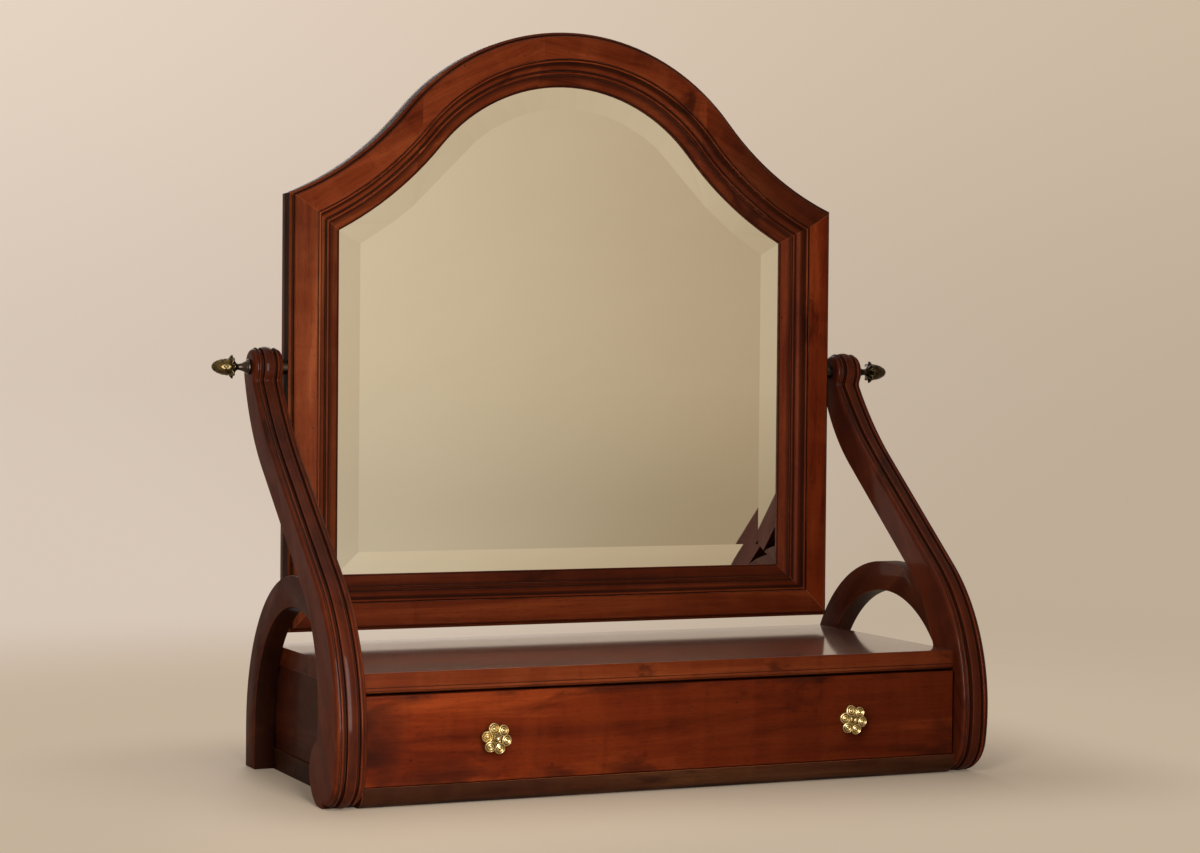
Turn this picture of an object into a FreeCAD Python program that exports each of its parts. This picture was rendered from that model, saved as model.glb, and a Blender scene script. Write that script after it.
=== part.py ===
import FreeCAD, Part
import math
import os
import Sketcher
from FreeCAD import Vector

# Dresser top mirror: a one-drawer case carried between two scrolled lyre arms, with an arched
# bevelled mirror that tilts on two thumb screws capped by acorns. Front faces -Y, up is +Z,
# and the origin lies on the surface below the middle of the whole object.

doc = FreeCAD.newDocument("dresser_mirror")
sheet = doc.addObject("Spreadsheet::Sheet", "Sizes")

# Driving dimensions in millimetres, angles in degrees; board_screw_end is a share of the stile
driving = [
    # the lyres
    ("lyre_gap", 616),
    ("arm_thickness", 30),
    ("lyre_depth", 320),
    ("pivot_setback", 280),
    ("pivot_height", 397),
    ("head_radius", 20),
    ("crease_angle", 40),
    ("crease_radius", 2.5),
    ("neck_radius", 370),
    ("neck_lift", 14),
    ("arm_width", 34),
    ("nape_radius", 194),
    ("belly_radius", 180),
    ("belly_height", 66),
    ("shank_width", 56),
    ("instep_radius", 140),
    ("toe_radius", 40),
    ("heel_radius", 30),
    ("foot_flat", 8),
    ("leg_thickness", 20),
    ("leg_width", 30),
    ("leg_radius", 160),
    ("leg_centre_height", 41),
    # the bead along the front edge of an arm
    ("band_width", 9),
    ("band_crown", 0.9),
    ("groove_depth", 3.8),
    ("groove_width", 3.5),
    ("groove_slope", 0.8),
    ("bead_width", 2.6),
    ("bead_drop", 2.2),
    # the case
    ("case_height", 123),
    ("top_thickness", 19),
    ("top_setback", 22),
    ("top_rear_setback", 22),
    ("top_edge_round", 3),
    ("base_thickness", 20),
    ("base_rear_setback", 22),
    ("base_roll", 17),
    ("edge_round", 1.5),
    ("side_inset", 2),
    ("side_thickness", 16),
    ("back_thickness", 6),
    # the drawer
    ("front_proud", 3),
    ("front_thickness", 19),
    ("front_gap", 1.5),
    ("slide_gap", 0.4),
    ("drawer_rear_gap", 10),
    ("drawer_side_height", 70),
    ("drawer_wall", 12),
    ("drawer_bottom_thickness", 5),
    ("drawer_bottom_lift", 8),
    ("drawer_groove_depth", 6),
    ("groove_clearance", 0.1),
    # the knobs
    ("knob_spacing", 370),
    ("knob_radius", 15),
    ("knob_petals", 6),
    ("petal_radius", 5.6),
    ("petal_thickness", 5),
    ("knob_height", 22),
    ("knob_foot_radius", 6),
    ("knob_foot", 2),
    ("knob_stem_radius", 4.5),
    ("knob_stem", 10),
    ("knob_eye_radius", 3.2),
    ("knob_eye", 3),
    # the mirror frame
    ("frame_side_gap", 7),
    ("frame_lift", 17),
    ("frame_shoulder", 565.5),
    ("frame_apex", 738),
    ("frame_depth", 30),
    ("frame_width", 51),
    ("crown_radius", 230),
    ("shoulder_radius", 312),
    ("frame_lip", 4),
    ("lip_setback", 6),
    ("lip_bevel", 2),
    ("face_bevel", 1.5),
    ("face_width", 24),
    ("quirk_depth", 2.5),
    ("face_bead", 3.5),
    ("cove_step", 1),
    ("cove_radius", 8),
    ("cove_bead", 3),
    ("slope_step", 1.5),
    ("sight_depth", 19.4),
    ("sight_flat", 1),
    ("sight_edge", 1.4),
    # the glass and the board behind it
    ("glass_thickness", 5),
    ("glass_edge", 2.6),
    ("glass_bevel", 28),
    ("glass_overlap", 6),
    ("glass_clearance", 0.3),
    ("board_thickness", 4),
    ("board_overlap", 17),
    # pivots
    ("pivot_screw_radius", 2.5),
    ("pivot_screw_bite", 20),
    ("insert_radius", 5),
    ("insert_length", 26),
    ("spacer_radius", 7),
    ("running_clearance", 0.05),
    ("end_clearance", 0.3),
    ("finial_length", 38),
    ("finial_flange_radius", 7.5),
    ("finial_flange", 3),
    ("finial_neck_radius", 3.4),
    ("finial_neck", 9),
    ("finial_cove", 3),
    ("finial_cap_radius", 10.5),
    ("finial_cap_rim", 1.5),
    ("acorn_radius", 9.2),
    ("acorn_nib", 1.5),
    ("finial_bore", 10),
    # dowels and screws
    ("dowel_radius", 4),
    ("dowel_length", 24),
    ("dowel_inset", 13),
    ("dowel_rear_inset", 8),
    ("dowel_pitch", 12),
    ("leg_dowel_pitch", 13),
    ("case_screw_radius", 2.2),
    ("case_screw_head", 4.2),
    ("case_screw_head_height", 3),
    ("case_screw_length", 45),
    ("case_screw_inset", 40),
    ("knob_screw_radius", 2),
    ("knob_screw_head", 4.5),
    ("knob_screw_head_height", 2.6),
    ("knob_screw_length", 27),
    ("board_screw_radius", 1.6),
    ("board_screw_head", 3.4),
    ("board_screw_head_height", 1.5),
    ("board_screw_length", 11),
    ("board_screw_end", 0.17),
    ("board_screw_lean", 30),
]
size = {}
for row, (name, value) in enumerate(driving, start=1):
    sheet.set("A%d" % row, name)
    sheet.set("B%d" % row, str(value))
    sheet.setAlias("B%d" % row, name)
    size[name] = float(value)
doc.recompute()


# Small tools for bodies and sketches

def plane_of(body, role):
    return [f for f in body.Origin.OriginFeatures if f.Role == role][0]


def new_body(label):
    body = doc.addObject("PartDesign::Body", label)
    body.Label = label
    return body


def bind(thing, prop, expression):
    thing.setExpression(prop, expression)


def new_sketch(body, name, role, offset=None):
    sketch = body.newObject("Sketcher::SketchObject", name)
    sketch.AttachmentSupport = (plane_of(body, role), [""])
    sketch.MapMode = "FlatFace"
    if offset:
        bind(sketch, "AttachmentOffset.Base.z", offset)
    return sketch


def place(sketch, geometry, end, across, up):
    # ties one point of a sketch to two expressions, measured from the sketch's origin
    for kind, expression in (("DistanceX", across), ("DistanceY", up)):
        if expression is not None:
            index = sketch.addConstraint(Sketcher.Constraint(kind, -1, 1, geometry, end, 1.0))
            bind(sketch, "Constraints[%d]" % index, expression)


def polygon(sketch, corners):
    # closed outline of straight edges through corners given as pairs of expressions
    count = len(corners)
    turn = 2 * math.pi / count
    rough = [Vector(math.cos(turn * i), math.sin(turn * i), 0) for i in range(count)]
    first = sketch.GeometryCount
    for i in range(count):
        sketch.addGeometry(Part.LineSegment(rough[i], rough[(i + 1) % count]))
    for i in range(count):
        sketch.addConstraint(Sketcher.Constraint("Coincident", first + i, 2, first + (i + 1) % count, 1))
    for i, (across, up) in enumerate(corners):
        place(sketch, first + i, 1, across, up)


def rectangle(sketch, left, right, low, high):
    polygon(sketch, [(left, low), (right, low), (right, high), (left, high)])


def circle(sketch, across, up, radius):
    index = sketch.addGeometry(Part.Circle(Vector(0, 0, 0), Vector(0, 0, 1), 1))
    place(sketch, index, 3, across, up)
    rule = sketch.addConstraint(Sketcher.Constraint("Radius", index, 1.0))
    bind(sketch, "Constraints[%d]" % rule, radius)


class Step:
    # one straight or round stretch of an outline; turn is +1 anticlockwise and -1 clockwise

    def __init__(self, start, finish, centre=None, turn=0, radius=None, smooth=True):
        self.start = start
        self.finish = finish
        self.centre = centre
        self.turn = turn
        self.radius = radius
        self.smooth = smooth

    def geometry(self):
        if self.centre is None:
            return Part.LineSegment(flat(self.start), flat(self.finish))
        first, last = self.start, self.finish
        if self.turn < 0:
            first, last = last, first
        begin = math.atan2(first[1] - self.centre[1], first[0] - self.centre[0])
        end = math.atan2(last[1] - self.centre[1], last[0] - self.centre[0])
        if end <= begin:
            end += 2 * math.pi
        ring = Part.Circle(flat(self.centre), Vector(0, 0, 1), math.dist(self.centre, first))
        return Part.ArcOfCircle(ring, begin, end)

    def ends(self):
        # a sketch numbers the ends of an arc anticlockwise
        return (2, 1) if self.turn < 0 else (1, 2)


def flat(point):
    return Vector(point[0], point[1], 0)


def chain(sketch, steps, closed):
    # draws the steps end to end, tangent where they are smooth, with radii tied to the sheet
    first = sketch.GeometryCount
    for step in steps:
        sketch.addGeometry(step.geometry())
    for i in range(len(steps) if closed else len(steps) - 1):
        after = (i + 1) % len(steps)
        rule = "Tangent" if steps[i].smooth else "Coincident"
        sketch.addConstraint(Sketcher.Constraint(rule, first + i, steps[i].ends()[1],
                                                 first + after, steps[after].ends()[0]))
    for i, step in enumerate(steps):
        if step.radius:
            radius = math.dist(step.centre, step.start)
            index = sketch.addConstraint(Sketcher.Constraint("Radius", first + i, radius))
            bind(sketch, "Constraints[%d]" % index, step.radius)
    return first


def shift(point, direction, length):
    return (point[0] + direction[0] * length, point[1] + direction[1] * length)


def aim(start, finish):
    length = math.dist(start, finish)
    return ((finish[0] - start[0]) / length, (finish[1] - start[1]) / length)


def meet(centre_a, radius_a, centre_b, radius_b):
    # the two points where a pair of circles cross
    gap = math.dist(centre_a, centre_b)
    along = (gap ** 2 + radius_a ** 2 - radius_b ** 2) / (2 * gap)
    across = math.sqrt(radius_a ** 2 - along ** 2)
    toward = aim(centre_a, centre_b)
    foot = shift(centre_a, toward, along)
    side = (-toward[1], toward[0])
    return shift(foot, side, across), shift(foot, side, -across)


def pad(body, name, sketch, length, reverse=False, middle=False):
    feature = body.newObject("PartDesign::Pad", name)
    feature.Profile = sketch
    bind(feature, "Length", length)
    feature.Reversed = reverse
    feature.Midplane = middle
    return feature


def pocket_through(body, name, sketch):
    feature = body.newObject("PartDesign::Pocket", name)
    feature.Profile = sketch
    feature.Type = "ThroughAll"
    feature.Midplane = True
    return feature


def turn(body, name, sketch, role):
    # a full turn about one of the body's own axes
    feature = body.newObject("PartDesign::Revolution", name)
    feature.Profile = sketch
    feature.ReferenceAxis = (plane_of(body, role), [""])
    return feature


def fillet(body, name, radius, chosen):
    # rounds the edges whose two ends both pass the test
    doc.recompute()
    base = body.Tip
    edges = []
    for i, edge in enumerate(base.Shape.Edges):
        if all(chosen(corner.Point) for corner in edge.Vertexes):
            edges.append("Edge%d" % (i + 1))
    feature = body.newObject("PartDesign::Fillet", name)
    feature.Base = (base, edges)
    bind(feature, "Radius", radius)


def same(a, b):
    return abs(a - b) < 1e-6


def block(name, x, y, z):
    # a plain board; each side is a pair of expressions, where it starts and how long it is
    box = doc.addObject("Part::Box", name)
    for prop, axis, (start, length) in (("Length", "x", x), ("Width", "y", y), ("Height", "z", z)):
        bind(box, prop, length)
        bind(box, "Placement.Base." + axis, start)
    return box


def standing(start, axis):
    return FreeCAD.Placement(Vector(*start), FreeCAD.Rotation(Vector(0, 0, 1), Vector(*axis)))


def rod(name, radius, length, start, axis):
    tool = doc.addObject("Part::Cylinder", name)
    bind(tool, "Radius", radius)
    bind(tool, "Height", length)
    tool.Placement = standing(start, axis)
    return tool


def group(name, things):
    compound = doc.addObject("Part::Compound", name)
    compound.Links = things
    return compound


def move(point, axis, length):
    return tuple(p + a * length for p, a in zip(point, axis))


pieces = {}


def keep(label, thing):
    thing.Label = label
    pieces[label] = thing


def drill(label, blank, holes):
    # the finished piece is its blank less every hole that passes through it
    cut = doc.addObject("Part::Cut", label)
    cut.Base = blank
    cut.Tool = group(label + "_holes", holes)
    keep(label, cut)


def dowel(name, middle, axis):
    # a dowel and the slightly larger hole that takes it, shared half and half by two pieces
    start = move(middle, axis, -size["dowel_length"] / 2)
    peg = rod(name, "Sizes.dowel_radius", "Sizes.dowel_length", start, axis)
    hole = rod(name + "_hole", "Sizes.dowel_radius + Sizes.running_clearance",
               "Sizes.dowel_length + 2 * Sizes.running_clearance",
               move(start, axis, -size["running_clearance"]), axis)
    return peg, hole


def screw(name, kind, start, axis, sunk=False):
    # a screw whose head starts at the given point, and the hole that clears it
    radius, head = "Sizes.%s_radius" % kind, "Sizes.%s_head" % kind
    height, length = "Sizes.%s_head_height" % kind, "Sizes.%s_length" % kind
    spare = " + Sizes.running_clearance"
    whole = height + " + " + length
    shank = rod(name + "_shank", radius, whole, start, axis)
    hole = rod(name + "_hole", radius + spare, whole + spare, start, axis)
    if not sunk:
        cap = rod(name + "_cap", head, height, start, axis)
    else:
        cap = cone(name + "_cap", head, radius, height, start, axis)
        sink = cone(name + "_sink", head + spare, radius + spare, height, start, axis)
        hole = fuse(name + "_clearance", hole, sink)
    return fuse(name, cap, shank), hole


def cone(name, wide, narrow, height, start, axis):
    tool = doc.addObject("Part::Cone", name)
    bind(tool, "Radius1", wide)
    bind(tool, "Radius2", narrow)
    bind(tool, "Height", height)
    tool.Placement = standing(start, axis)
    return tool


def fuse(name, base, tool):
    both = doc.addObject("Part::Fuse", name)
    both.Base = base
    both.Tool = tool
    return both


# Side view of a lyre, in Y and Z

def lyre_points():
    half = size["lyre_depth"] / 2
    pivot = (-half + size["pivot_setback"], size["pivot_height"])
    belly = (-half + size["belly_radius"], size["belly_height"])
    angle = math.radians(180 + size["crease_angle"])
    crease = shift(pivot, (math.cos(angle), math.sin(angle)), size["head_radius"])
    # the straight run leans so that it touches the belly and passes just behind the crease
    lean = math.asin((size["belly_radius"] + size["neck_lift"]) / math.dist(belly, crease))
    lean += math.atan2(crease[0] - belly[0], crease[1] - belly[1])
    up = (math.sin(lean), math.cos(lean))
    out = (-math.cos(lean), math.sin(lean))
    run_low = shift(belly, out, size["belly_radius"])
    lead = math.sqrt(2 * size["neck_radius"] * size["neck_lift"] - size["neck_lift"] ** 2)
    run_high = shift(shift(crease, out, -size["neck_lift"]), up, -lead)
    neck = shift(run_high, out, size["neck_radius"])
    touching = meet(pivot, size["head_radius"] + size["crease_radius"],
                    neck, size["neck_radius"] - size["crease_radius"])
    fillet = min(touching, key=lambda p: math.dist(p, crease))
    # the rear edge runs parallel to the front one and swings into the back of the head
    rear_low = shift(run_low, out, -size["arm_width"])
    depth = (pivot[0] - rear_low[0]) * out[0] + (pivot[1] - rear_low[1]) * out[1]
    rise = size["nape_radius"] - depth
    drop = math.sqrt((size["nape_radius"] - size["head_radius"]) ** 2 - rise ** 2)
    nape = shift(shift(pivot, out, rise), up, -drop)
    # the rear edge of the shank turns about the instep, which touches the straight run
    instep_y = -half + size["shank_width"] + size["instep_radius"]
    line = rear_low[0] * out[0] + rear_low[1] * out[1]
    instep = (instep_y, (line - size["instep_radius"] - instep_y * out[0]) / out[1])
    slant = size["belly_radius"] - size["toe_radius"]
    reach = math.sqrt(slant ** 2 - (size["belly_height"] - size["toe_radius"]) ** 2)
    toe = (belly[0] - reach, size["toe_radius"])
    heel = (toe[0] + size["foot_flat"], size["heel_radius"])
    notch = max(meet(instep, size["instep_radius"], heel, size["heel_radius"]), key=lambda p: p[1])
    return {
        "pivot": pivot, "belly": belly, "neck": neck, "fillet": fillet, "nape": nape,
        "instep": instep, "toe": toe, "heel": heel, "notch": notch,
        "run_low": run_low, "run_high": run_high,
        "toe_foot": (toe[0], 0.0),
        "heel_foot": (heel[0], 0.0),
        "toe_belly": shift(belly, aim(belly, toe), size["belly_radius"]),
        "neck_end": shift(neck, aim(neck, fillet), size["neck_radius"]),
        "head_start": shift(pivot, aim(pivot, fillet), size["head_radius"]),
        "head_end": shift(pivot, aim(nape, pivot), size["head_radius"]),
        "nape_end": shift(nape, out, -size["nape_radius"]),
        "instep_start": shift(instep, out, size["instep_radius"]),
    }


lyre = lyre_points()


def front_edge():
    # from under the toe, up the belly and neck, into the crease and over the head
    return [
        Step(lyre["toe_foot"], lyre["toe_belly"], lyre["toe"], -1, "Sizes.toe_radius"),
        Step(lyre["toe_belly"], lyre["run_low"], lyre["belly"], -1, "Sizes.belly_radius"),
        Step(lyre["run_low"], lyre["run_high"]),
        Step(lyre["run_high"], lyre["neck_end"], lyre["neck"], 1, "Sizes.neck_radius"),
        Step(lyre["neck_end"], lyre["head_start"], lyre["fillet"], 1, "Sizes.crease_radius"),
        Step(lyre["head_start"], lyre["head_end"], lyre["pivot"], -1, "Sizes.head_radius"),
    ]


def rear_edge():
    # from the head down the nape and instep, round the heel and along the flat of the foot
    return [
        Step(lyre["head_end"], lyre["nape_end"], lyre["nape"], -1, "Sizes.nape_radius"),
        Step(lyre["nape_end"], lyre["instep_start"]),
        Step(lyre["instep_start"], lyre["notch"], lyre["instep"], 1, "Sizes.instep_radius", smooth=False),
        Step(lyre["notch"], lyre["heel_foot"], lyre["heel"], -1, "Sizes.heel_radius"),
        Step(lyre["heel_foot"], lyre["toe_foot"]),
    ]


def moulding_cutter():
    # what a cutter takes off the front edge: X is across the arm and Y is into the wood
    half = size["arm_thickness"] / 2
    band = size["band_width"] / 2
    slope = size["groove_slope"]
    bead_in = band + size["groove_width"]
    bead_out = bead_in + size["bead_width"]
    drop = size["bead_drop"]
    curve = half - bead_out
    crown = (band ** 2 + size["band_crown"] ** 2) / (2 * size["band_crown"])
    spare = size["bead_width"]
    right = [
        Step((half + spare, -spare), (half + spare, drop + curve), smooth=False),
        Step((half + spare, drop + curve), (half, drop + curve), smooth=False),
        Step((half, drop + curve), (bead_out, drop), (bead_out, drop + curve), -1, smooth=False),
        Step((bead_out, drop), (bead_in, drop), ((bead_in + bead_out) / 2, drop), -1, smooth=False),
        Step((bead_in, drop), (bead_in - slope, size["groove_depth"]), smooth=False),
        Step((bead_in - slope, size["groove_depth"]), (band + slope, size["groove_depth"]), smooth=False),
        Step((band + slope, size["groove_depth"]), (band, size["band_crown"]), smooth=False),
    ]
    middle = [Step((band, size["band_crown"]), (-band, size["band_crown"]), (0, crown), -1, smooth=False)]
    left = []
    for step in reversed(right):
        centre = None if step.centre is None else (-step.centre[0], step.centre[1])
        start = (-step.finish[0], step.finish[1])
        finish = (-step.start[0], step.start[1])
        left.append(Step(start, finish, centre, step.turn, smooth=False))
    closing = [Step(left[-1].finish, right[0].start, smooth=False)]
    return right + middle + left + closing


def arm_blank(label, side):
    body = new_body(label + "_blank")
    outline = new_sketch(body, label + "_outline", "YZ_Plane", "%d * Sizes.lyre_gap / 2" % side)
    chain(outline, front_edge() + rear_edge(), True)
    pad(body, label + "_plank", outline, "Sizes.arm_thickness", reverse=side < 0)
    middle = "%d * (Sizes.lyre_gap + Sizes.arm_thickness) / 2" % side
    path = new_sketch(body, label + "_path", "YZ_Plane", middle)
    chain(path, front_edge(), False)
    cutter = new_sketch(body, label + "_cutter", "XZ_Plane")
    cutter.AttachmentOffset = FreeCAD.Placement(Vector(0, 0, -lyre["toe_foot"][0]), FreeCAD.Rotation())
    bind(cutter, "AttachmentOffset.Base.x", middle)
    chain(cutter, moulding_cutter(), True)
    doc.recompute()
    mould = body.newObject("PartDesign::SubtractivePipe", label + "_moulding")
    mould.Profile = cutter
    mould.Spine = (path, ["Edge%d" % (i + 1) for i in range(len(front_edge()))])
    return body


def leg_landing(radius):
    # where a circle of the ring meets the instep, and the way that the ring heads there
    centre = leg_centre()
    point = min(meet(centre, radius, lyre["instep"], size["instep_radius"]), key=lambda p: p[0])
    out = aim(centre, point)
    return point, (-out[1], out[0])


def leg_end(radius):
    # the same circle followed a little way into the arm, to be coped off
    point, heading = leg_landing(radius)
    beyond = shift(point, heading, size["arm_width"] / 3)
    return shift(leg_centre(), aim(leg_centre(), beyond), radius)


def leg_ring():
    # up from the floor, along the inside of the ring into the arm, and back along the outside
    inner = size["leg_radius"] - size["leg_width"]
    centre = leg_centre()
    inside = (centre[0] + inner, centre[1])
    outside = (centre[0] + size["leg_radius"], centre[1])
    inner_end = leg_end(inner)
    outer_end = leg_end(size["leg_radius"])
    return [
        Step((inside[0], 0), inside),
        Step(inside, inner_end, centre, 1, "Sizes.leg_radius - Sizes.leg_width", smooth=False),
        Step(inner_end, outer_end, smooth=False),
        Step(outer_end, outside, centre, -1, "Sizes.leg_radius"),
        Step(outside, (outside[0], 0), smooth=False),
        Step((outside[0], 0), (inside[0], 0), smooth=False),
    ]


def leg_centre():
    return (size["lyre_depth"] / 2 - size["leg_radius"], size["leg_centre_height"])


def leg_blank(label, side):
    # the upper end is coped to lie against the rear edge of the arm
    body = new_body(label + "_blank")
    inner = "%d * Sizes.lyre_gap / 2" % side
    ring = new_sketch(body, label + "_ring", "YZ_Plane", inner)
    chain(ring, leg_ring(), True)
    pad(body, label + "_plank", ring, "Sizes.leg_thickness", reverse=side < 0)
    cope = new_sketch(body, label + "_cope", "YZ_Plane", inner)
    chain(cope, front_edge() + rear_edge(), True)
    doc.recompute()
    pocket_through(body, label + "_cope_cut", cope)
    return body


# Where dowels cross from one piece to the next

def leg_dowels(label, side):
    # along the ring, to either side of its middle, where it meets the instep
    across = side * (size["lyre_gap"] + size["leg_thickness"]) / 2
    middle = size["leg_radius"] - size["leg_width"] / 2
    made = []
    for i, step in enumerate((-0.5, 0.5)):
        (y, z), heading = leg_landing(middle + step * size["leg_dowel_pitch"])
        made.append(dowel("%s_dowel_%d" % (label, i), (across, y, z), (0, *heading)))
    return made


top_front = size["top_setback"] - size["lyre_depth"] / 2
case_front = top_front - size["front_proud"]
top_middle = size["case_height"] - size["top_thickness"] / 2
base_middle = size["base_thickness"] / 2


def end_dowels(name, side, places):
    x = side * size["lyre_gap"] / 2
    return [dowel("%s_%d" % (name, i), (x, y, z), (side, 0, 0)) for i, (y, z) in enumerate(places)]


pivot_y, pivot_z = lyre["pivot"]
pegs = []
joint_pegs = []
top_holes = []
base_holes = []
for side, name in ((-1, "left"), (1, "right")):
    first = case_front + size["dowel_inset"]
    rear = size["lyre_depth"] / 2 - size["top_rear_setback"] - size["dowel_rear_inset"]
    at_top = end_dowels(name + "_top_dowel", side, [(top_front + size["dowel_inset"], top_middle)])
    at_base = end_dowels(name + "_base_dowel", side,
                         [(first, base_middle), (first + size["dowel_pitch"], base_middle)])
    at_rear = end_dowels(name + "_rear_dowel", side,
                         [(rear, top_middle), (rear - size["dowel_pitch"], top_middle)])
    at_joint = leg_dowels(name + "_leg", side)
    pegs += [peg for peg, hole in at_top + at_base + at_rear]
    joint_pegs += [peg for peg, hole in at_joint]
    top_holes += [hole for peg, hole in at_top + at_rear]
    base_holes += [hole for peg, hole in at_base]
    pivot_hole = rod(name + "_pivot_hole", "Sizes.pivot_screw_radius + Sizes.running_clearance",
                     "Sizes.arm_thickness", (side * size["lyre_gap"] / 2, pivot_y, pivot_z), (side, 0, 0))
    drill(name + "_arm", arm_blank(name + "_arm", side),
          [hole for peg, hole in at_top + at_base + at_joint] + [pivot_hole])
    drill(name + "_rear_leg", leg_blank(name + "_rear_leg", side),
          [hole for peg, hole in at_rear + at_joint])
keep("lyre_dowels", group("lyre_dowels", pegs))
keep("leg_dowels", group("leg_dowels", joint_pegs))


# The case between the lyres

TOP_FRONT = "(Sizes.top_setback - Sizes.lyre_depth / 2)"
CASE_FRONT = "(Sizes.top_setback - Sizes.lyre_depth / 2 - Sizes.front_proud)"
UNDER_TOP = "(Sizes.case_height - Sizes.top_thickness)"
SIDE_OUTER = "(Sizes.lyre_gap / 2 - Sizes.side_inset)"
SIDE_INNER = "(Sizes.lyre_gap / 2 - Sizes.side_inset - Sizes.side_thickness)"
BAY = "(Sizes.case_height - Sizes.top_thickness - Sizes.base_thickness)"
TOP_DEPTH = "(Sizes.lyre_depth - Sizes.top_setback - Sizes.top_rear_setback)"
CASE_REAR = "(Sizes.lyre_depth / 2 - Sizes.base_rear_setback)"
BASE_DEPTH = "(" + CASE_REAR + " - " + CASE_FRONT + ")"
FRONT_REAR = "(" + CASE_FRONT + " + Sizes.front_thickness)"


def board(label, front, depth, low, high):
    body = new_body(label + "_blank")
    end = new_sketch(body, label + "_end", "YZ_Plane")
    rectangle(end, front, front + " + " + depth, low, high)
    pad(body, label + "_plank", end, "Sizes.lyre_gap", middle=True)
    return body


top = board("top_board", TOP_FRONT, TOP_DEPTH, UNDER_TOP, "Sizes.case_height")
fillet(top, "top_lower_round", "min(Sizes.top_edge_round; Sizes.top_thickness / 2)",
       lambda p: same(p.y, top_front) and p.z < top_middle)
fillet(top, "top_upper_round", "min(Sizes.edge_round; Sizes.top_thickness / 3)",
       lambda p: same(p.y, top_front) and same(p.z, size["case_height"]))
drill("top_board", top, top_holes)

base = board("base_board", CASE_FRONT, BASE_DEPTH, "0", "Sizes.base_thickness")
fillet(base, "base_roll", "min(Sizes.base_roll; Sizes.base_thickness - Sizes.edge_round)",
       lambda p: same(p.y, case_front) and same(p.z, 0))
side_middle = size["lyre_gap"] / 2 - size["side_inset"] - size["side_thickness"] / 2
side_start = case_front + size["front_thickness"]
side_end = size["lyre_depth"] / 2 - size["base_rear_setback"]
case_screws = []
side_holes = {}
for side, name in ((-1, "left"), (1, "right")):
    side_holes[name] = []
    for i, y in enumerate((side_start + size["case_screw_inset"], side_end - size["case_screw_inset"])):
        made, hole = screw("%s_case_screw_%d" % (name, i), "case_screw",
                           (side * side_middle, y, 0), (0, 0, 1), sunk=True)
        case_screws.append(made)
        side_holes[name].append(hole)
        base_holes.append(hole)
drill("base_board", base, base_holes)
keep("case_screws", group("case_screws", case_screws))

SIDE_START = FRONT_REAR + " + Sizes.slide_gap"
for name, start in (("left", "-" + SIDE_OUTER), ("right", SIDE_INNER)):
    panel = block(name + "_case_panel", (start, "Sizes.side_thickness"),
                  (SIDE_START, CASE_REAR + " - (" + SIDE_START + ")"), ("Sizes.base_thickness", BAY))
    drill(name + "_case_side", panel, side_holes[name])
keep("case_back", block("case_back", ("-" + SIDE_INNER, "2 * " + SIDE_INNER),
                        (CASE_REAR + " - Sizes.back_thickness", "Sizes.back_thickness"),
                        ("Sizes.base_thickness", BAY)))


# The drawer, shut

BOX_DEPTH = "(" + CASE_REAR + " - Sizes.back_thickness - Sizes.drawer_rear_gap - " + FRONT_REAR + ")"
BOX_OUTER = "(" + SIDE_INNER + " - Sizes.slide_gap)"
BOX_INNER = "(" + SIDE_INNER + " - Sizes.slide_gap - Sizes.drawer_wall)"
BOX_LOW = "(Sizes.base_thickness + Sizes.slide_gap)"
FLOOR_LOW = "(" + BOX_LOW + " + Sizes.drawer_bottom_lift)"
FLOOR_HIGH = "(" + FLOOR_LOW + " + Sizes.drawer_bottom_thickness)"
BOX_HIGH = "(" + BOX_LOW + " + Sizes.drawer_side_height)"
FLOOR_HALF = "(" + BOX_INNER + " + Sizes.drawer_groove_depth)"
SLACK = "Sizes.groove_clearance"
BACK_LOW = "(" + FLOOR_HIGH + " + " + SLACK + ")"

front_low = size["base_thickness"] + size["slide_gap"]
front_high = size["case_height"] - size["top_thickness"] - size["front_gap"]
knob_z = (front_low + front_high) / 2

floor_groove = block("drawer_floor_groove",
                     ("-" + FLOOR_HALF + " - " + SLACK, "2 * " + FLOOR_HALF + " + 2 * " + SLACK),
                     (FRONT_REAR + " - Sizes.drawer_groove_depth - " + SLACK,
                      "Sizes.drawer_groove_depth + " + BOX_DEPTH + " + 2 * " + SLACK),
                     (FLOOR_LOW + " - " + SLACK, "Sizes.drawer_bottom_thickness + 2 * " + SLACK))
keep("drawer_bottom", block("drawer_bottom", ("-" + FLOOR_HALF, "2 * " + FLOOR_HALF),
                            (FRONT_REAR + " - Sizes.drawer_groove_depth",
                             "Sizes.drawer_groove_depth + " + BOX_DEPTH),
                            (FLOOR_LOW, "Sizes.drawer_bottom_thickness")))
for name, start in (("left", "-" + BOX_OUTER), ("right", BOX_INNER)):
    wall = block("drawer_%s_wall" % name, (start, "Sizes.drawer_wall"),
                 (FRONT_REAR, BOX_DEPTH), (BOX_LOW, "Sizes.drawer_side_height"))
    drill("drawer_%s_side" % name, wall, [floor_groove])
keep("drawer_back", block("drawer_back", ("-" + BOX_INNER, "2 * " + BOX_INNER),
                          (FRONT_REAR + " + " + BOX_DEPTH + " - Sizes.drawer_wall", "Sizes.drawer_wall"),
                          (BACK_LOW, BOX_HIGH + " - " + BACK_LOW)))

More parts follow.
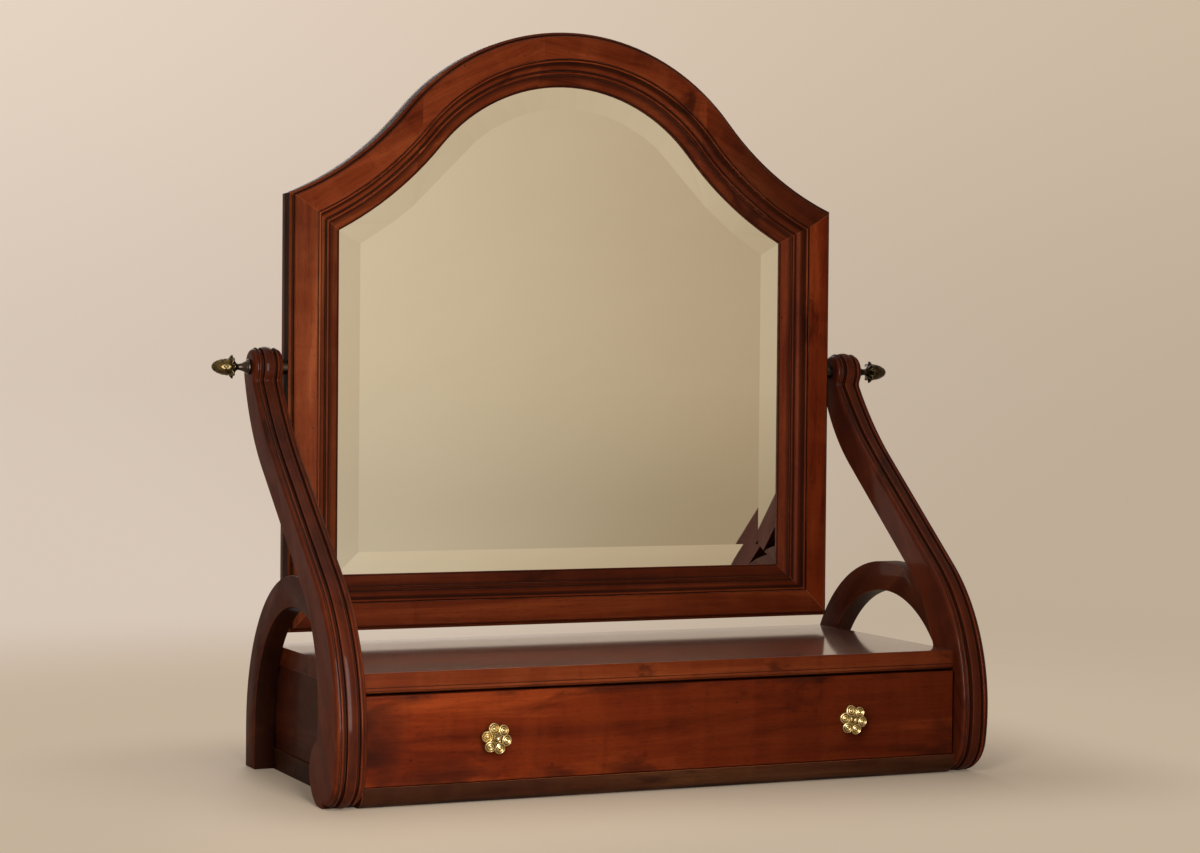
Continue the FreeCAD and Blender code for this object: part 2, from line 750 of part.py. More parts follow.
front = new_body("drawer_front_blank")
face = new_sketch(front, "drawer_face", "XZ_Plane", "-" + CASE_FRONT)
FRONT_HALF = "(Sizes.lyre_gap / 2 - Sizes.front_gap)"
rectangle(face, "-" + FRONT_HALF, FRONT_HALF, BOX_LOW, UNDER_TOP + " - Sizes.front_gap")
pad(front, "drawer_face_plank", face, "Sizes.front_thickness", reverse=True)
fillet(front, "drawer_face_round", "Sizes.edge_round", lambda p: same(p.y, case_front))
knob_screws = []
knob_holes = []
for side, name in ((-1, "left"), (1, "right")):
    made, hole = screw(name + "_knob_screw", "knob_screw",
                       (side * size["knob_spacing"] / 2,
                        case_front + size["front_thickness"] + size["knob_screw_head_height"], knob_z),
                       (0, -1, 0))
    knob_screws.append(made)
    knob_holes.append(hole)
drill("drawer_front", front, [floor_groove] + knob_holes)
keep("knob_screws", group("knob_screws", knob_screws))


def knob(label, side):
    # a turned stem and eye carrying a ring of round petals
    body = new_body(label)
    bore = size["knob_screw_radius"] + size["running_clearance"]
    deep = size["knob_screw_length"] - size["front_thickness"] + size["running_clearance"]
    foot = size["knob_foot_radius"]
    stem = size["knob_stem_radius"]
    hub = size["knob_radius"] - size["petal_radius"]
    behind = size["knob_foot"] + size["knob_stem"]
    before = behind + size["petal_thickness"]
    eye = size["knob_eye_radius"]
    points = [
        (bore, 0), (foot, 0), (foot, -size["knob_foot"]), (stem, -2 * size["knob_foot"]),
        (stem, -behind), (hub, -behind), (hub, -before), (eye, -before),
        (eye, size["knob_eye"] - size["knob_height"]), (eye / 2, -size["knob_height"]),
        (0, -size["knob_height"]), (0, -deep), (bore, -deep),
    ]
    profile = new_sketch(body, label + "_profile", "XY_Plane")
    chain(profile, straight(points), True)
    turn(body, label + "_stem", profile, "Y_Axis")
    petal = new_sketch(body, label + "_petal", "XZ_Plane", str(behind))
    circle(petal, "0", "Sizes.knob_radius - Sizes.petal_radius", "Sizes.petal_radius")
    leaf = pad(body, label + "_leaf", petal, "Sizes.petal_thickness")
    ring = body.newObject("PartDesign::PolarPattern", label + "_petals")
    ring.Originals = [leaf]
    ring.Axis = (plane_of(body, "Y_Axis"), [""])
    ring.Angle = 360
    bind(ring, "Occurrences", "Sizes.knob_petals")
    body.Tip = ring
    body.Placement.Base = Vector(side * size["knob_spacing"] / 2, case_front, knob_z)
    keep(label, body)


def straight(points):
    # a closed run of straight steps through the points
    return [Step(a, b, smooth=False) for a, b in zip(points, points[1:] + points[:1])]


knob("left_knob", -1)
knob("right_knob", 1)


# The mirror frame; u runs inward from the outer edge of its face and v runs back from the face

FRAME_LOW = "(Sizes.case_height + Sizes.frame_lift - Sizes.frame_lip)"
frame_half = size["lyre_gap"] / 2 - size["frame_side_gap"] - size["frame_lip"]
frame_bottom = size["case_height"] + size["frame_lift"]
frame_front = pivot_y - size["frame_depth"] / 2
mirror_rise = size["glass_thickness"] - size["glass_edge"]
glass_seat = size["frame_width"] - size["glass_overlap"]
board_seat = size["frame_width"] - size["board_overlap"]
# the bevel of the glass bears on the back of the sight edge
glass_front = size["sight_depth"] + size["running_clearance"]
glass_front -= mirror_rise * (size["glass_bevel"] - size["glass_overlap"]) / size["glass_bevel"]
glass_back = glass_front + size["glass_thickness"]
board_front = glass_back + size["running_clearance"]
board_back = board_front + size["board_thickness"]


def frame_profile():
    lip, depth = -size["frame_lip"], size["frame_depth"]
    ledge = size["lip_setback"]
    turned = size["lip_bevel"]
    soft = size["face_bevel"]
    face = size["face_width"]
    quirk = size["quirk_depth"]
    hollow = face + size["face_bead"]
    rim = quirk + size["cove_step"]
    cove = size["cove_radius"]
    bead = hollow + cove
    step = bead + size["cove_bead"]
    low = rim + cove
    sight = size["frame_width"]
    rebate = glass_seat - size["glass_clearance"]
    return [
        Step((lip, depth), (lip, ledge + turned), smooth=False),
        Step((lip, ledge + turned), (lip + turned, ledge), smooth=False),
        Step((lip + turned, ledge), (0, ledge), smooth=False),
        Step((0, ledge), (0, soft), smooth=False),
        Step((0, soft), (soft, 0), smooth=False),
        Step((soft, 0), (face, 0), smooth=False),
        Step((face, 0), (face, quirk), smooth=False),
        Step((face, quirk), (hollow, quirk), ((face + hollow) / 2, quirk), 1, smooth=False),
        Step((hollow, quirk), (hollow, rim), smooth=False),
        Step((hollow, rim), (bead, low), (bead, rim), -1, smooth=False),
        Step((bead, low), (step, low), ((bead + step) / 2, low), 1, smooth=False),
        Step((step, low), (step, low + size["slope_step"]), smooth=False),
        Step((step, low + size["slope_step"]),
             (sight - size["sight_flat"], size["sight_depth"] - size["sight_edge"]), smooth=False),
        Step((sight - size["sight_flat"], size["sight_depth"] - size["sight_edge"]),
             (sight, size["sight_depth"] - size["sight_edge"]), smooth=False),
        Step((sight, size["sight_depth"] - size["sight_edge"]), (sight, size["sight_depth"]), smooth=False),
        Step((sight, size["sight_depth"]), (rebate, size["sight_depth"]), smooth=False),
        Step((rebate, size["sight_depth"]), (rebate, board_front), smooth=False),
        Step((rebate, board_front), (board_seat, board_front), smooth=False),
        Step((board_seat, board_front), (board_seat, depth), smooth=False),
        Step((board_seat, depth), (lip, depth), smooth=False),
    ]


def laid(steps, across, up):
    # the profile carried to other axes: across and up take (u, v); a swap of hands swaps the turns
    def carry(p):
        return (across(*p), up(*p))
    hand = carry((1, 0))[0] - carry((0, 0))[0], carry((1, 0))[1] - carry((0, 0))[1]
    back = carry((0, 1))[0] - carry((0, 0))[0], carry((0, 1))[1] - carry((0, 0))[1]
    flip = 1 if hand[0] * back[1] - hand[1] * back[0] > 0 else -1
    out = []
    for step in steps:
        centre = None if step.centre is None else carry(step.centre)
        out.append(Step(carry(step.start), carry(step.finish), centre, flip * step.turn, smooth=False))
    return out


crown_centre = (0, size["frame_apex"] - size["crown_radius"])
corner = (frame_half, size["frame_shoulder"])
shoulder_centre = max(meet(crown_centre, size["crown_radius"] + size["shoulder_radius"],
                           corner, size["shoulder_radius"]), key=lambda p: p[1])


def shoulder_end(u):
    # where the shoulder, drawn in by u, meets the stile drawn in by u
    x = frame_half - u
    reach = size["shoulder_radius"] + u
    return (x, shoulder_centre[1] - math.sqrt(reach ** 2 - (x - shoulder_centre[0]) ** 2))


def shoulder_start(u):
    return shift(crown_centre, aim(crown_centre, shoulder_centre), size["crown_radius"] - u)


def mirrored(point):
    return (-point[0], point[1])


def arch(u):
    # the whole outline drawn in by u
    low = frame_bottom + u
    left, right = -frame_half + u, frame_half - u
    end, start = shoulder_end(u), shoulder_start(u)
    return [
        Step((left, low), (right, low), smooth=False),
        Step((right, low), end, smooth=False),
        Step(end, start, shoulder_centre, -1),
        Step(start, mirrored(start), crown_centre, 1),
        Step(mirrored(start), mirrored(end), mirrored(shoulder_centre), -1, smooth=False),
        Step(mirrored(end), (left, low), smooth=False),
    ]


def mitre_cut(body, name, outer, inner, away):
    # takes off everything on one side of the line through two points
    line = aim(inner, outer)
    start = shift(inner, line, -size["frame_width"])
    finish = shift(outer, line, size["frame_width"])
    far = 2 * size["frame_width"]
    sketch = new_sketch(body, name, "XZ_Plane")
    chain(sketch, straight([start, finish, shift(finish, away, far), shift(start, away, far)]), True)
    doc.recompute()
    pocket_through(body, name + "_cut", sketch)


low_corner = (frame_half, frame_bottom)
low_sight = shift(low_corner, (-1, 1), size["frame_width"])
high_corner = shoulder_end(-size["frame_lip"])
high_sight = shoulder_end(size["frame_width"])
top_line = aim(high_sight, high_corner)


def stile_blank(label, side):
    body = new_body(label + "_blank")
    profile = new_sketch(body, label + "_profile", "XY_Plane", FRAME_LOW)
    chain(profile, laid(frame_profile(), lambda u, v: side * (frame_half - u),
                        lambda u, v: frame_front + v), True)
    # long enough to run past the upper mitre
    pad(body, label + "_length", profile,
        "Sizes.frame_shoulder + 2 * Sizes.frame_lip - " + FRAME_LOW)

    def facing(p):
        return (side * p[0], p[1])
    mitre_cut(body, label + "_low_mitre", facing(low_corner), facing(low_sight), facing((-1, -1)))
    mitre_cut(body, label + "_high_mitre", facing(high_corner), facing(high_sight),
              facing((-top_line[1], top_line[0])))
    return body


def bottom_blank():
    body = new_body("bottom_rail_blank")
    profile = new_sketch(body, "bottom_rail_profile", "YZ_Plane")
    chain(profile, laid(frame_profile(), lambda u, v: frame_front + v,
                        lambda u, v: frame_bottom + u), True)
    pad(body, "bottom_rail_length", profile, "Sizes.lyre_gap - 2 * Sizes.frame_side_gap", middle=True)
    for side, name in ((-1, "left"), (1, "right")):
        mitre_cut(body, "bottom_rail_%s_mitre" % name, (side * low_corner[0], low_corner[1]),
                  (side * low_sight[0], low_sight[1]), (side, 1))
    return body


def arch_sketch(body, name, lean):
    # the profile standing on a radius of the crown that leans by an angle from upright, with the
    # crown's axis and the shoulder's axis as its two construction lines
    sketch = new_sketch(body, name, "YZ_Plane")
    sketch.AttachmentOffset = FreeCAD.Placement(Vector(0, crown_centre[1], 0),
                                                FreeCAD.Rotation(Vector(1, 0, 0), math.degrees(lean)))
    chain(sketch, laid(frame_profile(), lambda u, v: frame_front + v,
                       lambda u, v: size["crown_radius"] - u), True)
    for height in (0, size["crown_radius"] + size["shoulder_radius"]):
        axis = Part.LineSegment(Vector(0, height, 0), Vector(size["frame_depth"], height, 0))
        sketch.addGeometry(axis, True)
    return sketch


def swing(body, name, sketch, axis, angle):
    feature = body.newObject("PartDesign::Revolution", name)
    feature.Profile = sketch
    feature.ReferenceAxis = (sketch, [axis])
    feature.Angle = math.degrees(angle)
    return feature


def top_blank():
    # the crown, turned about its centre, and two shoulders turned the other way about theirs
    body = new_body("top_rail_blank")
    lean = math.atan2(shoulder_centre[0], shoulder_centre[1] - crown_centre[1])
    crown = swing(body, "top_rail_crown", arch_sketch(body, "top_rail_middle", 0), "Axis0", 2 * lean)
    crown.Midplane = True
    spread = aim(shoulder_centre, shoulder_end(-2 * size["frame_lip"]))
    reach = lean + math.atan2(spread[0], -spread[1])
    for side, name in ((-1, "left"), (1, "right")):
        sketch = arch_sketch(body, "top_rail_%s_section" % name, side * lean)
        doc.recompute()
        shoulder = swing(body, "top_rail_%s_shoulder" % name, sketch, "Axis1", reach)
        shoulder.Reversed = side > 0
        doc.recompute()
        mitre_cut(body, "top_rail_%s_mitre" % name, (side * high_corner[0], high_corner[1]),
                  (side * high_sight[0], high_sight[1]), (side * top_line[1], -top_line[0]))
    return body


# Screws through the back board into the frame, along the middle of the ledge

def board_screws(name, places):
    made = [screw("%s_board_screw_%d" % (name, i), "board_screw",
                  (x, frame_front + board_back + size["board_screw_head_height"], z), (0, -1, 0))
            for i, (x, z) in enumerate(places)]
    return [one for one, hole in made], [hole for one, hole in made]


ledge = (glass_seat + board_seat) / 2
stile_x = frame_half - ledge
stile_run = size["frame_shoulder"] - frame_bottom
end_share = size["board_screw_end"]
stile_heights = [frame_bottom + stile_run * share for share in (end_share, 0.5, 1 - end_share)]
screw_lean = math.radians(size["board_screw_lean"])
crown_spots = [shift(crown_centre, (side * math.sin(screw_lean), math.cos(screw_lean)),
                     size["crown_radius"] - ledge) for side in (-1, 1)]
fixings = {
    "left_stile": [(-stile_x, z) for z in stile_heights],
    "right_stile": [(stile_x, z) for z in stile_heights],
    "bottom_rail": [(side * stile_x / 2, frame_bottom + ledge) for side in (-1, 1)],
    "top_rail": crown_spots,
}
board_screw_set = []
board_holes = []
frame_holes = {}
for name, places in fixings.items():
    screws, frame_holes[name] = board_screws(name, places)
    board_screw_set += screws
    board_holes += frame_holes[name]
keep("back_board_screws", group("back_board_screws", board_screw_set))

lip_x = frame_half + size["frame_lip"]
for side, name in ((-1, "left"), (1, "right")):
    seat = rod(name + "_insert_seat", "Sizes.insert_radius + Sizes.running_clearance",
               "Sizes.insert_length + Sizes.running_clearance",
               (side * lip_x, pivot_y, pivot_z), (-side, 0, 0))
    drill(name + "_stile", stile_blank(name + "_stile", side), frame_holes[name + "_stile"] + [seat])
drill("bottom_rail", bottom_blank(), frame_holes["bottom_rail"])
drill("top_rail", top_blank(), frame_holes["top_rail"])


def sheet_body(label, u, front, thickness):
    # a flat sheet cut to the outline drawn in by u
    body = new_body(label)
    outline = new_sketch(body, label + "_outline", "XZ_Plane", str(-(frame_front + front)))
    chain(outline, arch(u), True)
    pad(body, label + "_plate", outline, thickness, reverse=True)
    return body


glass = sheet_body("mirror_glass", glass_seat, glass_front + mirror_rise, "Sizes.glass_edge")
crest = new_sketch(glass, "mirror_glass_crest", "XZ_Plane", str(-(frame_front + glass_front)))
chain(crest, arch(glass_seat + size["glass_bevel"]), True)
base_edge = new_sketch(glass, "mirror_glass_bevel_edge", "XZ_Plane",
                       str(-(frame_front + glass_front + mirror_rise)))
chain(base_edge, arch(glass_seat), True)
doc.recompute()
bevel = glass.newObject("PartDesign::AdditiveLoft", "mirror_glass_bevel")
bevel.Profile = base_edge
bevel.Sections = [crest]
bevel.Ruled = True
keep("mirror_glass", glass)

panel = sheet_body("back_board_blank", board_seat + size["glass_clearance"], board_front,
                   "Sizes.board_thickness")
drill("back_board", panel, board_holes)


# Pivots: a finial fixed on its screw, a collar against the arm and a threaded sleeve in the stile

def tube(label, outer, inner, length, start, axis):
    body = new_body(label)
    section = new_sketch(body, label + "_section", "XY_Plane")
    circle(section, "0", "0", outer)
    circle(section, "0", "0", inner)
    pad(body, label + "_wall", section, length)
    body.Placement = standing(start, axis)
    keep(label, body)


def finial(label, side):
    body = new_body(label)
    bore = size["pivot_screw_radius"] + size["running_clearance"]
    flange, brim = size["finial_flange"], size["finial_flange_radius"]
    neck, cove = size["finial_neck_radius"], size["finial_cove"]
    cap_start = flange + size["finial_neck"]
    cap = size["finial_cap_radius"]
    cap_end = cap_start + cap - neck
    nut_start = cap_end + size["finial_cap_rim"]
    nut, nib = size["acorn_radius"], size["acorn_nib"]
    tip = size["finial_length"]
    run, fall = tip - nib - nut_start, nut - nib
    swell = (run ** 2 + fall ** 2) / (2 * fall)
    deep = size["finial_bore"] + size["running_clearance"]
    steps = [
        Step((0, bore), (0, brim), smooth=False),
        Step((0, brim), (flange, brim), smooth=False),
        Step((flange, brim), (flange, neck + cove), smooth=False),
        Step((flange, neck + cove), (flange + cove, neck), (flange + cove, neck + cove), 1, smooth=False),
        Step((flange + cove, neck), (cap_start, neck), smooth=False),
        Step((cap_start, neck), (cap_end, cap), (cap_end, neck), -1, smooth=False),
        Step((cap_end, cap), (nut_start, cap), smooth=False),
        Step((nut_start, cap), (nut_start, nut), smooth=False),
        Step((nut_start, nut), (tip - nib, nib), (nut_start, nut - swell), -1, smooth=False),
        Step((tip - nib, nib), (tip, 0), smooth=False),
        Step((tip, 0), (deep, 0), smooth=False),
        Step((deep, 0), (deep, bore), smooth=False),
        Step((deep, bore), (0, bore), smooth=False),
    ]
    profile = new_sketch(body, label + "_profile", "XY_Plane")
    chain(profile, steps, True)
    turn(body, label + "_turning", profile, "X_Axis")
    spin = FreeCAD.Rotation(Vector(0, 0, 1), 0 if side > 0 else 180)
    body.Placement = FreeCAD.Placement(Vector(side * flange_x, pivot_y, pivot_z), spin)
    keep(label, body)


arm_outer = size["lyre_gap"] / 2 + size["arm_thickness"]
flange_x = arm_outer + size["end_clearance"]
for side, name in ((-1, "left"), (1, "right")):
    finial(name + "_finial", side)
    keep(name + "_pivot_screw", rod(
        name + "_pivot_screw", "Sizes.pivot_screw_radius",
        "Sizes.finial_bore + Sizes.end_clearance + Sizes.arm_thickness + Sizes.frame_side_gap"
        " + Sizes.pivot_screw_bite",
        (side * (flange_x + size["finial_bore"]), pivot_y, pivot_z), (-side, 0, 0)))
    tube(name + "_spacer", "Sizes.spacer_radius", "Sizes.pivot_screw_radius + Sizes.running_clearance",
         "Sizes.frame_side_gap - Sizes.end_clearance",
         (side * size["lyre_gap"] / 2, pivot_y, pivot_z), (-side, 0, 0))
    tube(name + "_pivot_insert", "Sizes.insert_radius",
         "Sizes.pivot_screw_radius + Sizes.running_clearance", "Sizes.insert_length",
         (side * lip_x, pivot_y, pivot_z), (-side, 0, 0))


# Checks, then one file for each piece

doc.recompute()
for thing in doc.Objects:
    if "Invalid" in thing.State or "Error" in thing.State:
        raise RuntimeError("%s failed: %s" % (thing.Label, thing.getStatusString()))
os.makedirs("parts", exist_ok=True)
for name, thing in pieces.items():
    shape = thing.Shape
    if shape.isNull() or not shape.isValid() or not shape.Solids:
        raise RuntimeError("%s has no sound solid" % name)
    shape.exportStep("parts/%s.step" % name)
    print("%-20s %2d solids %12.1f mm3" % (name, len(shape.Solids), shape.Volume))
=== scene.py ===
import math

import bmesh
import bpy
from mathutils import Matrix, Vector


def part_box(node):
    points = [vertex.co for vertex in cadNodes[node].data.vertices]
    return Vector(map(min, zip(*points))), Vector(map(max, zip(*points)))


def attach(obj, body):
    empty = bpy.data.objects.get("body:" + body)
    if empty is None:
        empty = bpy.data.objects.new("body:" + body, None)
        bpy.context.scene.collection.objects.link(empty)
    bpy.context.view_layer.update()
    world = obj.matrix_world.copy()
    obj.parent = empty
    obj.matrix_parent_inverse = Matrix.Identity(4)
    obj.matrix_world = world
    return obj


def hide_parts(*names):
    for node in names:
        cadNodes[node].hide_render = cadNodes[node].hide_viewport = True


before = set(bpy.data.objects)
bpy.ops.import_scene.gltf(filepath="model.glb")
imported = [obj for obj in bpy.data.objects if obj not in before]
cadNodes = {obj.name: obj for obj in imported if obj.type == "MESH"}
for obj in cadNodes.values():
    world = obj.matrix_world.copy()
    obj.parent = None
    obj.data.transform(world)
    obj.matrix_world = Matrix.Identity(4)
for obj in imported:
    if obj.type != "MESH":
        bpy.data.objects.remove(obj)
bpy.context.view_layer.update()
mm = 0.001

scene = bpy.context.scene
scene.view_settings.view_transform = "Standard"


# shader helpers; an input is a number, a colour or the socket that feeds it

def addNode(tree, kind, inputs=None, **settings):
    made = tree.nodes.new(kind)
    for name, value in settings.items():
        setattr(made, name, value)
    for name, value in (inputs or {}).items():
        if isinstance(value, bpy.types.NodeSocket):
            tree.links.new(value, made.inputs[name])
        else:
            made.inputs[name].default_value = value
    return made


def newGroup(name, ins, outs):
    tree = bpy.data.node_groups.new(name, "ShaderNodeTree")
    for label, kind in ins:
        tree.interface.new_socket(label, in_out="INPUT", socket_type="NodeSocket" + kind)
    for label, kind in outs:
        tree.interface.new_socket(label, in_out="OUTPUT", socket_type="NodeSocket" + kind)
    return tree, tree.nodes.new("NodeGroupInput").outputs, tree.nodes.new("NodeGroupOutput").inputs


def useGroup(tree, group, inputs):
    return addNode(tree, "ShaderNodeGroup", inputs, node_tree=group).outputs


def mixColour(tree, share, first, second, blend="MIX"):
    made = addNode(tree, "ShaderNodeMix", {0: share, 6: first, 7: second}, data_type="RGBA", blend_type=blend)
    return made.outputs[2]


def rise(tree, value, low, high, start=0.0, end=1.0):
    spread = {"Value": value, "From Min": low, "From Max": high, "To Min": start, "To Max": end}
    return addNode(tree, "ShaderNodeMapRange", spread, interpolation_type="SMOOTHSTEP").outputs[0]


def maths(tree, operation, first, second):
    return addNode(tree, "ShaderNodeMath", {0: first, 1: second}, operation=operation).outputs[0]


def unsigned(tree, value):
    return addNode(tree, "ShaderNodeMath", {0: value}, operation="ABSOLUTE").outputs[0]


def vectors(tree, operation, first, second=None, out=0):
    # a length, a distance or a dot product comes out at "Value"
    inputs = {0: first} if second is None else {0: first, 1: second}
    return addNode(tree, "ShaderNodeVectorMath", inputs, operation=operation).outputs[out]


def scaled(tree, vector, share):
    return addNode(tree, "ShaderNodeVectorMath", {0: vector, 3: share}, operation="SCALE").outputs[0]


def axesOf(tree, vector):
    return addNode(tree, "ShaderNodeSeparateXYZ", {0: vector}).outputs


def cloud(tree, vector, scale, detail=4.0, roughness=0.55, distortion=0.0):
    place = addNode(tree, "ShaderNodeMapping", {"Vector": vector, "Scale": scale}).outputs[0]
    return addNode(tree, "ShaderNodeTexNoise", {"Vector": place, "Scale": 1.0, "Detail": detail,
                                                "Roughness": roughness, "Distortion": distortion}).outputs[0]


def rgb(red, green, blue):
    return (red, green, blue, 1.0)


# shared effects

def makeWearShadeHighlight():
    # hollows and inside corners found by ambient occlusion, where glaze and dust gather and painted shade
    # falls, and proud edges, lighter where hands have rubbed them and as a painted highlight
    tree, given, puts = newGroup("wearShadeHighlight", [("Reach", "Float"), ("Edge", "Float")],
                                 [("Hollow", "Float"), ("RubbedAndLit", "Float")])
    shut = addNode(tree, "ShaderNodeAmbientOcclusion", {"Distance": given["Reach"]}, samples=10)
    # the hollow mask darkens creases and the corners between parts: painted shade as well as glaze and dust
    hollow = rise(tree, shut.outputs["AO"], 0.36, 0.88, 1.0, 0.0)
    rounded = addNode(tree, "ShaderNodeBevel", {"Radius": given["Edge"]}, samples=6).outputs[0]
    face = addNode(tree, "ShaderNodeNewGeometry").outputs["Normal"]
    # lighter proud edges: rubbed wear and a painted highlight
    edge = rise(tree, vectors(tree, "DOT_PRODUCT", rounded, face, "Value"), 0.86, 0.985, 1.0, 0.0)
    proud = maths(tree, "SUBTRACT", 1.0, hollow)
    tree.links.new(hollow, puts["Hollow"])
    tree.links.new(maths(tree, "MULTIPLY", edge, proud), puts["RubbedAndLit"])
    return tree


wearShadeHighlight = makeWearShadeHighlight()

stain = {
    "deep": rgb(0.060, 0.0080, 0.0022), "middle": rgb(0.146, 0.0238, 0.0054),
    # the rubbed colour lightens proud edges: wear and a painted highlight
    "light": rgb(0.275, 0.0590, 0.0150), "rubbedAndLit": rgb(0.330, 0.0900, 0.0340),
    "glaze": rgb(0.009, 0.0034, 0.0020),
    "hollowReach": 8 * mm, "edgeRound": 1.1 * mm,
    # how often each mark repeats in a metre, along the grain and across it
    "figure": (2.6, 30, 30), "lines": (11, 480, 480), "curl": (34, 9, 9), "smudge": (12, 26, 26),
    "brushed": (62, 13, 13), "pores": (150, 1500, 1500), "specks": 42.0,
    # how strongly each mark shows
    "lineShare": 0.28, "curlShare": 0.16, "smudgeShare": 0.60, "brushedShare": 0.30, "poreShare": 0.35,
    # how well the glaze and the painted shade cover the stain, and how much duller they make it
    "glazeCover": 0.94, "glazeDull": 0.30,
}


def makeStainedGrain():
    # red-brown stain over a close grain that runs along X, with darker glaze left in the hollows; the hollows
    # and the Dark input also carry painted shade, and the rubbed edges a painted highlight
    ins = [("Vector", "Vector"), ("Glaze", "Float"), ("Dark", "Float"), ("Tint", "Color")]
    outs = [("Color", "Color"), ("Roughness", "Float"), ("Height", "Float")]
    tree, given, puts = newGroup("stainedGrain", ins, outs)
    place = given["Vector"]
    figure = cloud(tree, place, stain["figure"], 5.0, 0.6, 0.7)
    lines = cloud(tree, place, stain["lines"], 3.0, 0.6)
    curl = cloud(tree, place, stain["curl"], 2.0, 0.5, 0.4)
    smudge = cloud(tree, place, stain["smudge"], 5.0, 0.62, 0.9)
    brushed = cloud(tree, place, stain["brushed"], 4.0, 0.62, 0.5)
    pores = cloud(tree, place, stain["pores"], 1.0, 0.5)
    tone = mixColour(tree, rise(tree, figure, 0.30, 0.52), stain["deep"], stain["middle"])
    tone = mixColour(tree, rise(tree, figure, 0.50, 0.74), tone, stain["light"])
    tone = mixColour(tree, rise(tree, lines, 0.30, 0.66, stain["lineShare"], 0.0), tone, stain["deep"])
    tone = mixColour(tree, rise(tree, curl, 0.40, 0.66, 0.0, stain["curlShare"]), tone, stain["light"])
    tone = mixColour(tree, rise(tree, smudge, 0.56, 0.74, 0.0, stain["smudgeShare"]), tone, stain["deep"])
    tone = mixColour(tree, rise(tree, brushed, 0.54, 0.78, 0.0, stain["brushedShare"]), tone, stain["deep"])
    tone = mixColour(tree, rise(tree, smudge, 0.60, 0.80, 0.0, stain["smudgeShare"]), tone, stain["glaze"])
    tone = mixColour(tree, rise(tree, pores, 0.62, 0.72, 0.0, stain["poreShare"]), tone, stain["glaze"])
    # dark specks in about a quarter of the cells
    cells = addNode(tree, "ShaderNodeTexVoronoi", {"Vector": place, "Scale": stain["specks"]})
    dots = rise(tree, cells.outputs["Distance"], 0.022, 0.045, 1.0, 0.0)
    chance = addNode(tree, "ShaderNodeSeparateColor", {0: cells.outputs["Color"]}).outputs[0]
    specks = maths(tree, "MULTIPLY", dots, rise(tree, chance, 0.22, 0.26, 1.0, 0.0))
    tone = mixColour(tree, specks, tone, stain["glaze"])
    # the tint carries painted light: paler where a piece is lit, redder where shaded
    tone = mixColour(tree, 1.0, tone, given["Tint"], "MULTIPLY")
    wear = useGroup(tree, wearShadeHighlight, {"Reach": stain["hollowReach"], "Edge": stain["edgeRound"]})
    patchy = rise(tree, smudge, 0.25, 0.6, 0.55, 1.0)
    # glaze in the hollows, and painted shade from the occlusion hollows and the Dark input
    glazeAndShade = maths(tree, "MAXIMUM", maths(tree, "MULTIPLY", wear["Hollow"], patchy), given["Glaze"])
    glazeAndShade = maths(tree, "MAXIMUM", glazeAndShade, given["Dark"])
    tone = mixColour(tree, maths(tree, "MULTIPLY", glazeAndShade, stain["glazeCover"]), tone, stain["glaze"])
    # rubbed edges, partly a painted highlight
    rubbedAndLit = maths(tree, "MULTIPLY", wear["RubbedAndLit"], rise(tree, smudge, 0.36, 0.62, 0.15, 0.75))
    tone = mixColour(tree, rubbedAndLit, tone, stain["rubbedAndLit"])
    tree.links.new(tone, puts["Color"])
    sheen = rise(tree, smudge, 0.3, 0.7, 0.30, 0.42)
    dulled = maths(tree, "ADD", sheen, maths(tree, "MULTIPLY", glazeAndShade, stain["glazeDull"]))
    tree.links.new(dulled, puts["Roughness"])
    relief = maths(tree, "MULTIPLY", lines, 0.35)
    relief = maths(tree, "SUBTRACT", relief, rise(tree, pores, 0.60, 0.75, 0.0, 0.6))
    tree.links.new(maths(tree, "SUBTRACT", relief, specks), puts["Height"])
    return tree


stainedGrain = makeStainedGrain()
print("shared shader groups built")


# materials

def newMaterial(name):
    material = bpy.data.materials.new(name)
    material.use_nodes = True
    tree = material.node_tree
    tree.nodes.clear()
    return material, tree


def coated(tree, inputs):
    shader = addNode(tree, "ShaderNodeBsdfPrincipled", inputs)
    addNode(tree, "ShaderNodeOutputMaterial", {"Surface": shader.outputs[0]})


def objectPlace(tree):
    return addNode(tree, "ShaderNodeTexCoord").outputs["Object"]


def along(tree, turn, offset):
    # object coordinates turned so that X runs along the grain of the piece
    return addNode(tree, "ShaderNodeMapping", {"Vector": objectPlace(tree), "Location": offset,
                                               "Rotation": [math.radians(a) for a in turn]}).outputs[0]


def raised(tree, height, distance, strength):
    return addNode(tree, "ShaderNodeBump", {"Height": height, "Distance": distance,
                                            "Strength": strength}).outputs[0]


def painted(tree):
    # the glaze or grime that a piece carries on its own faces
    return addNode(tree, "ShaderNodeAttribute", attribute_name="glaze").outputs["Fac"]


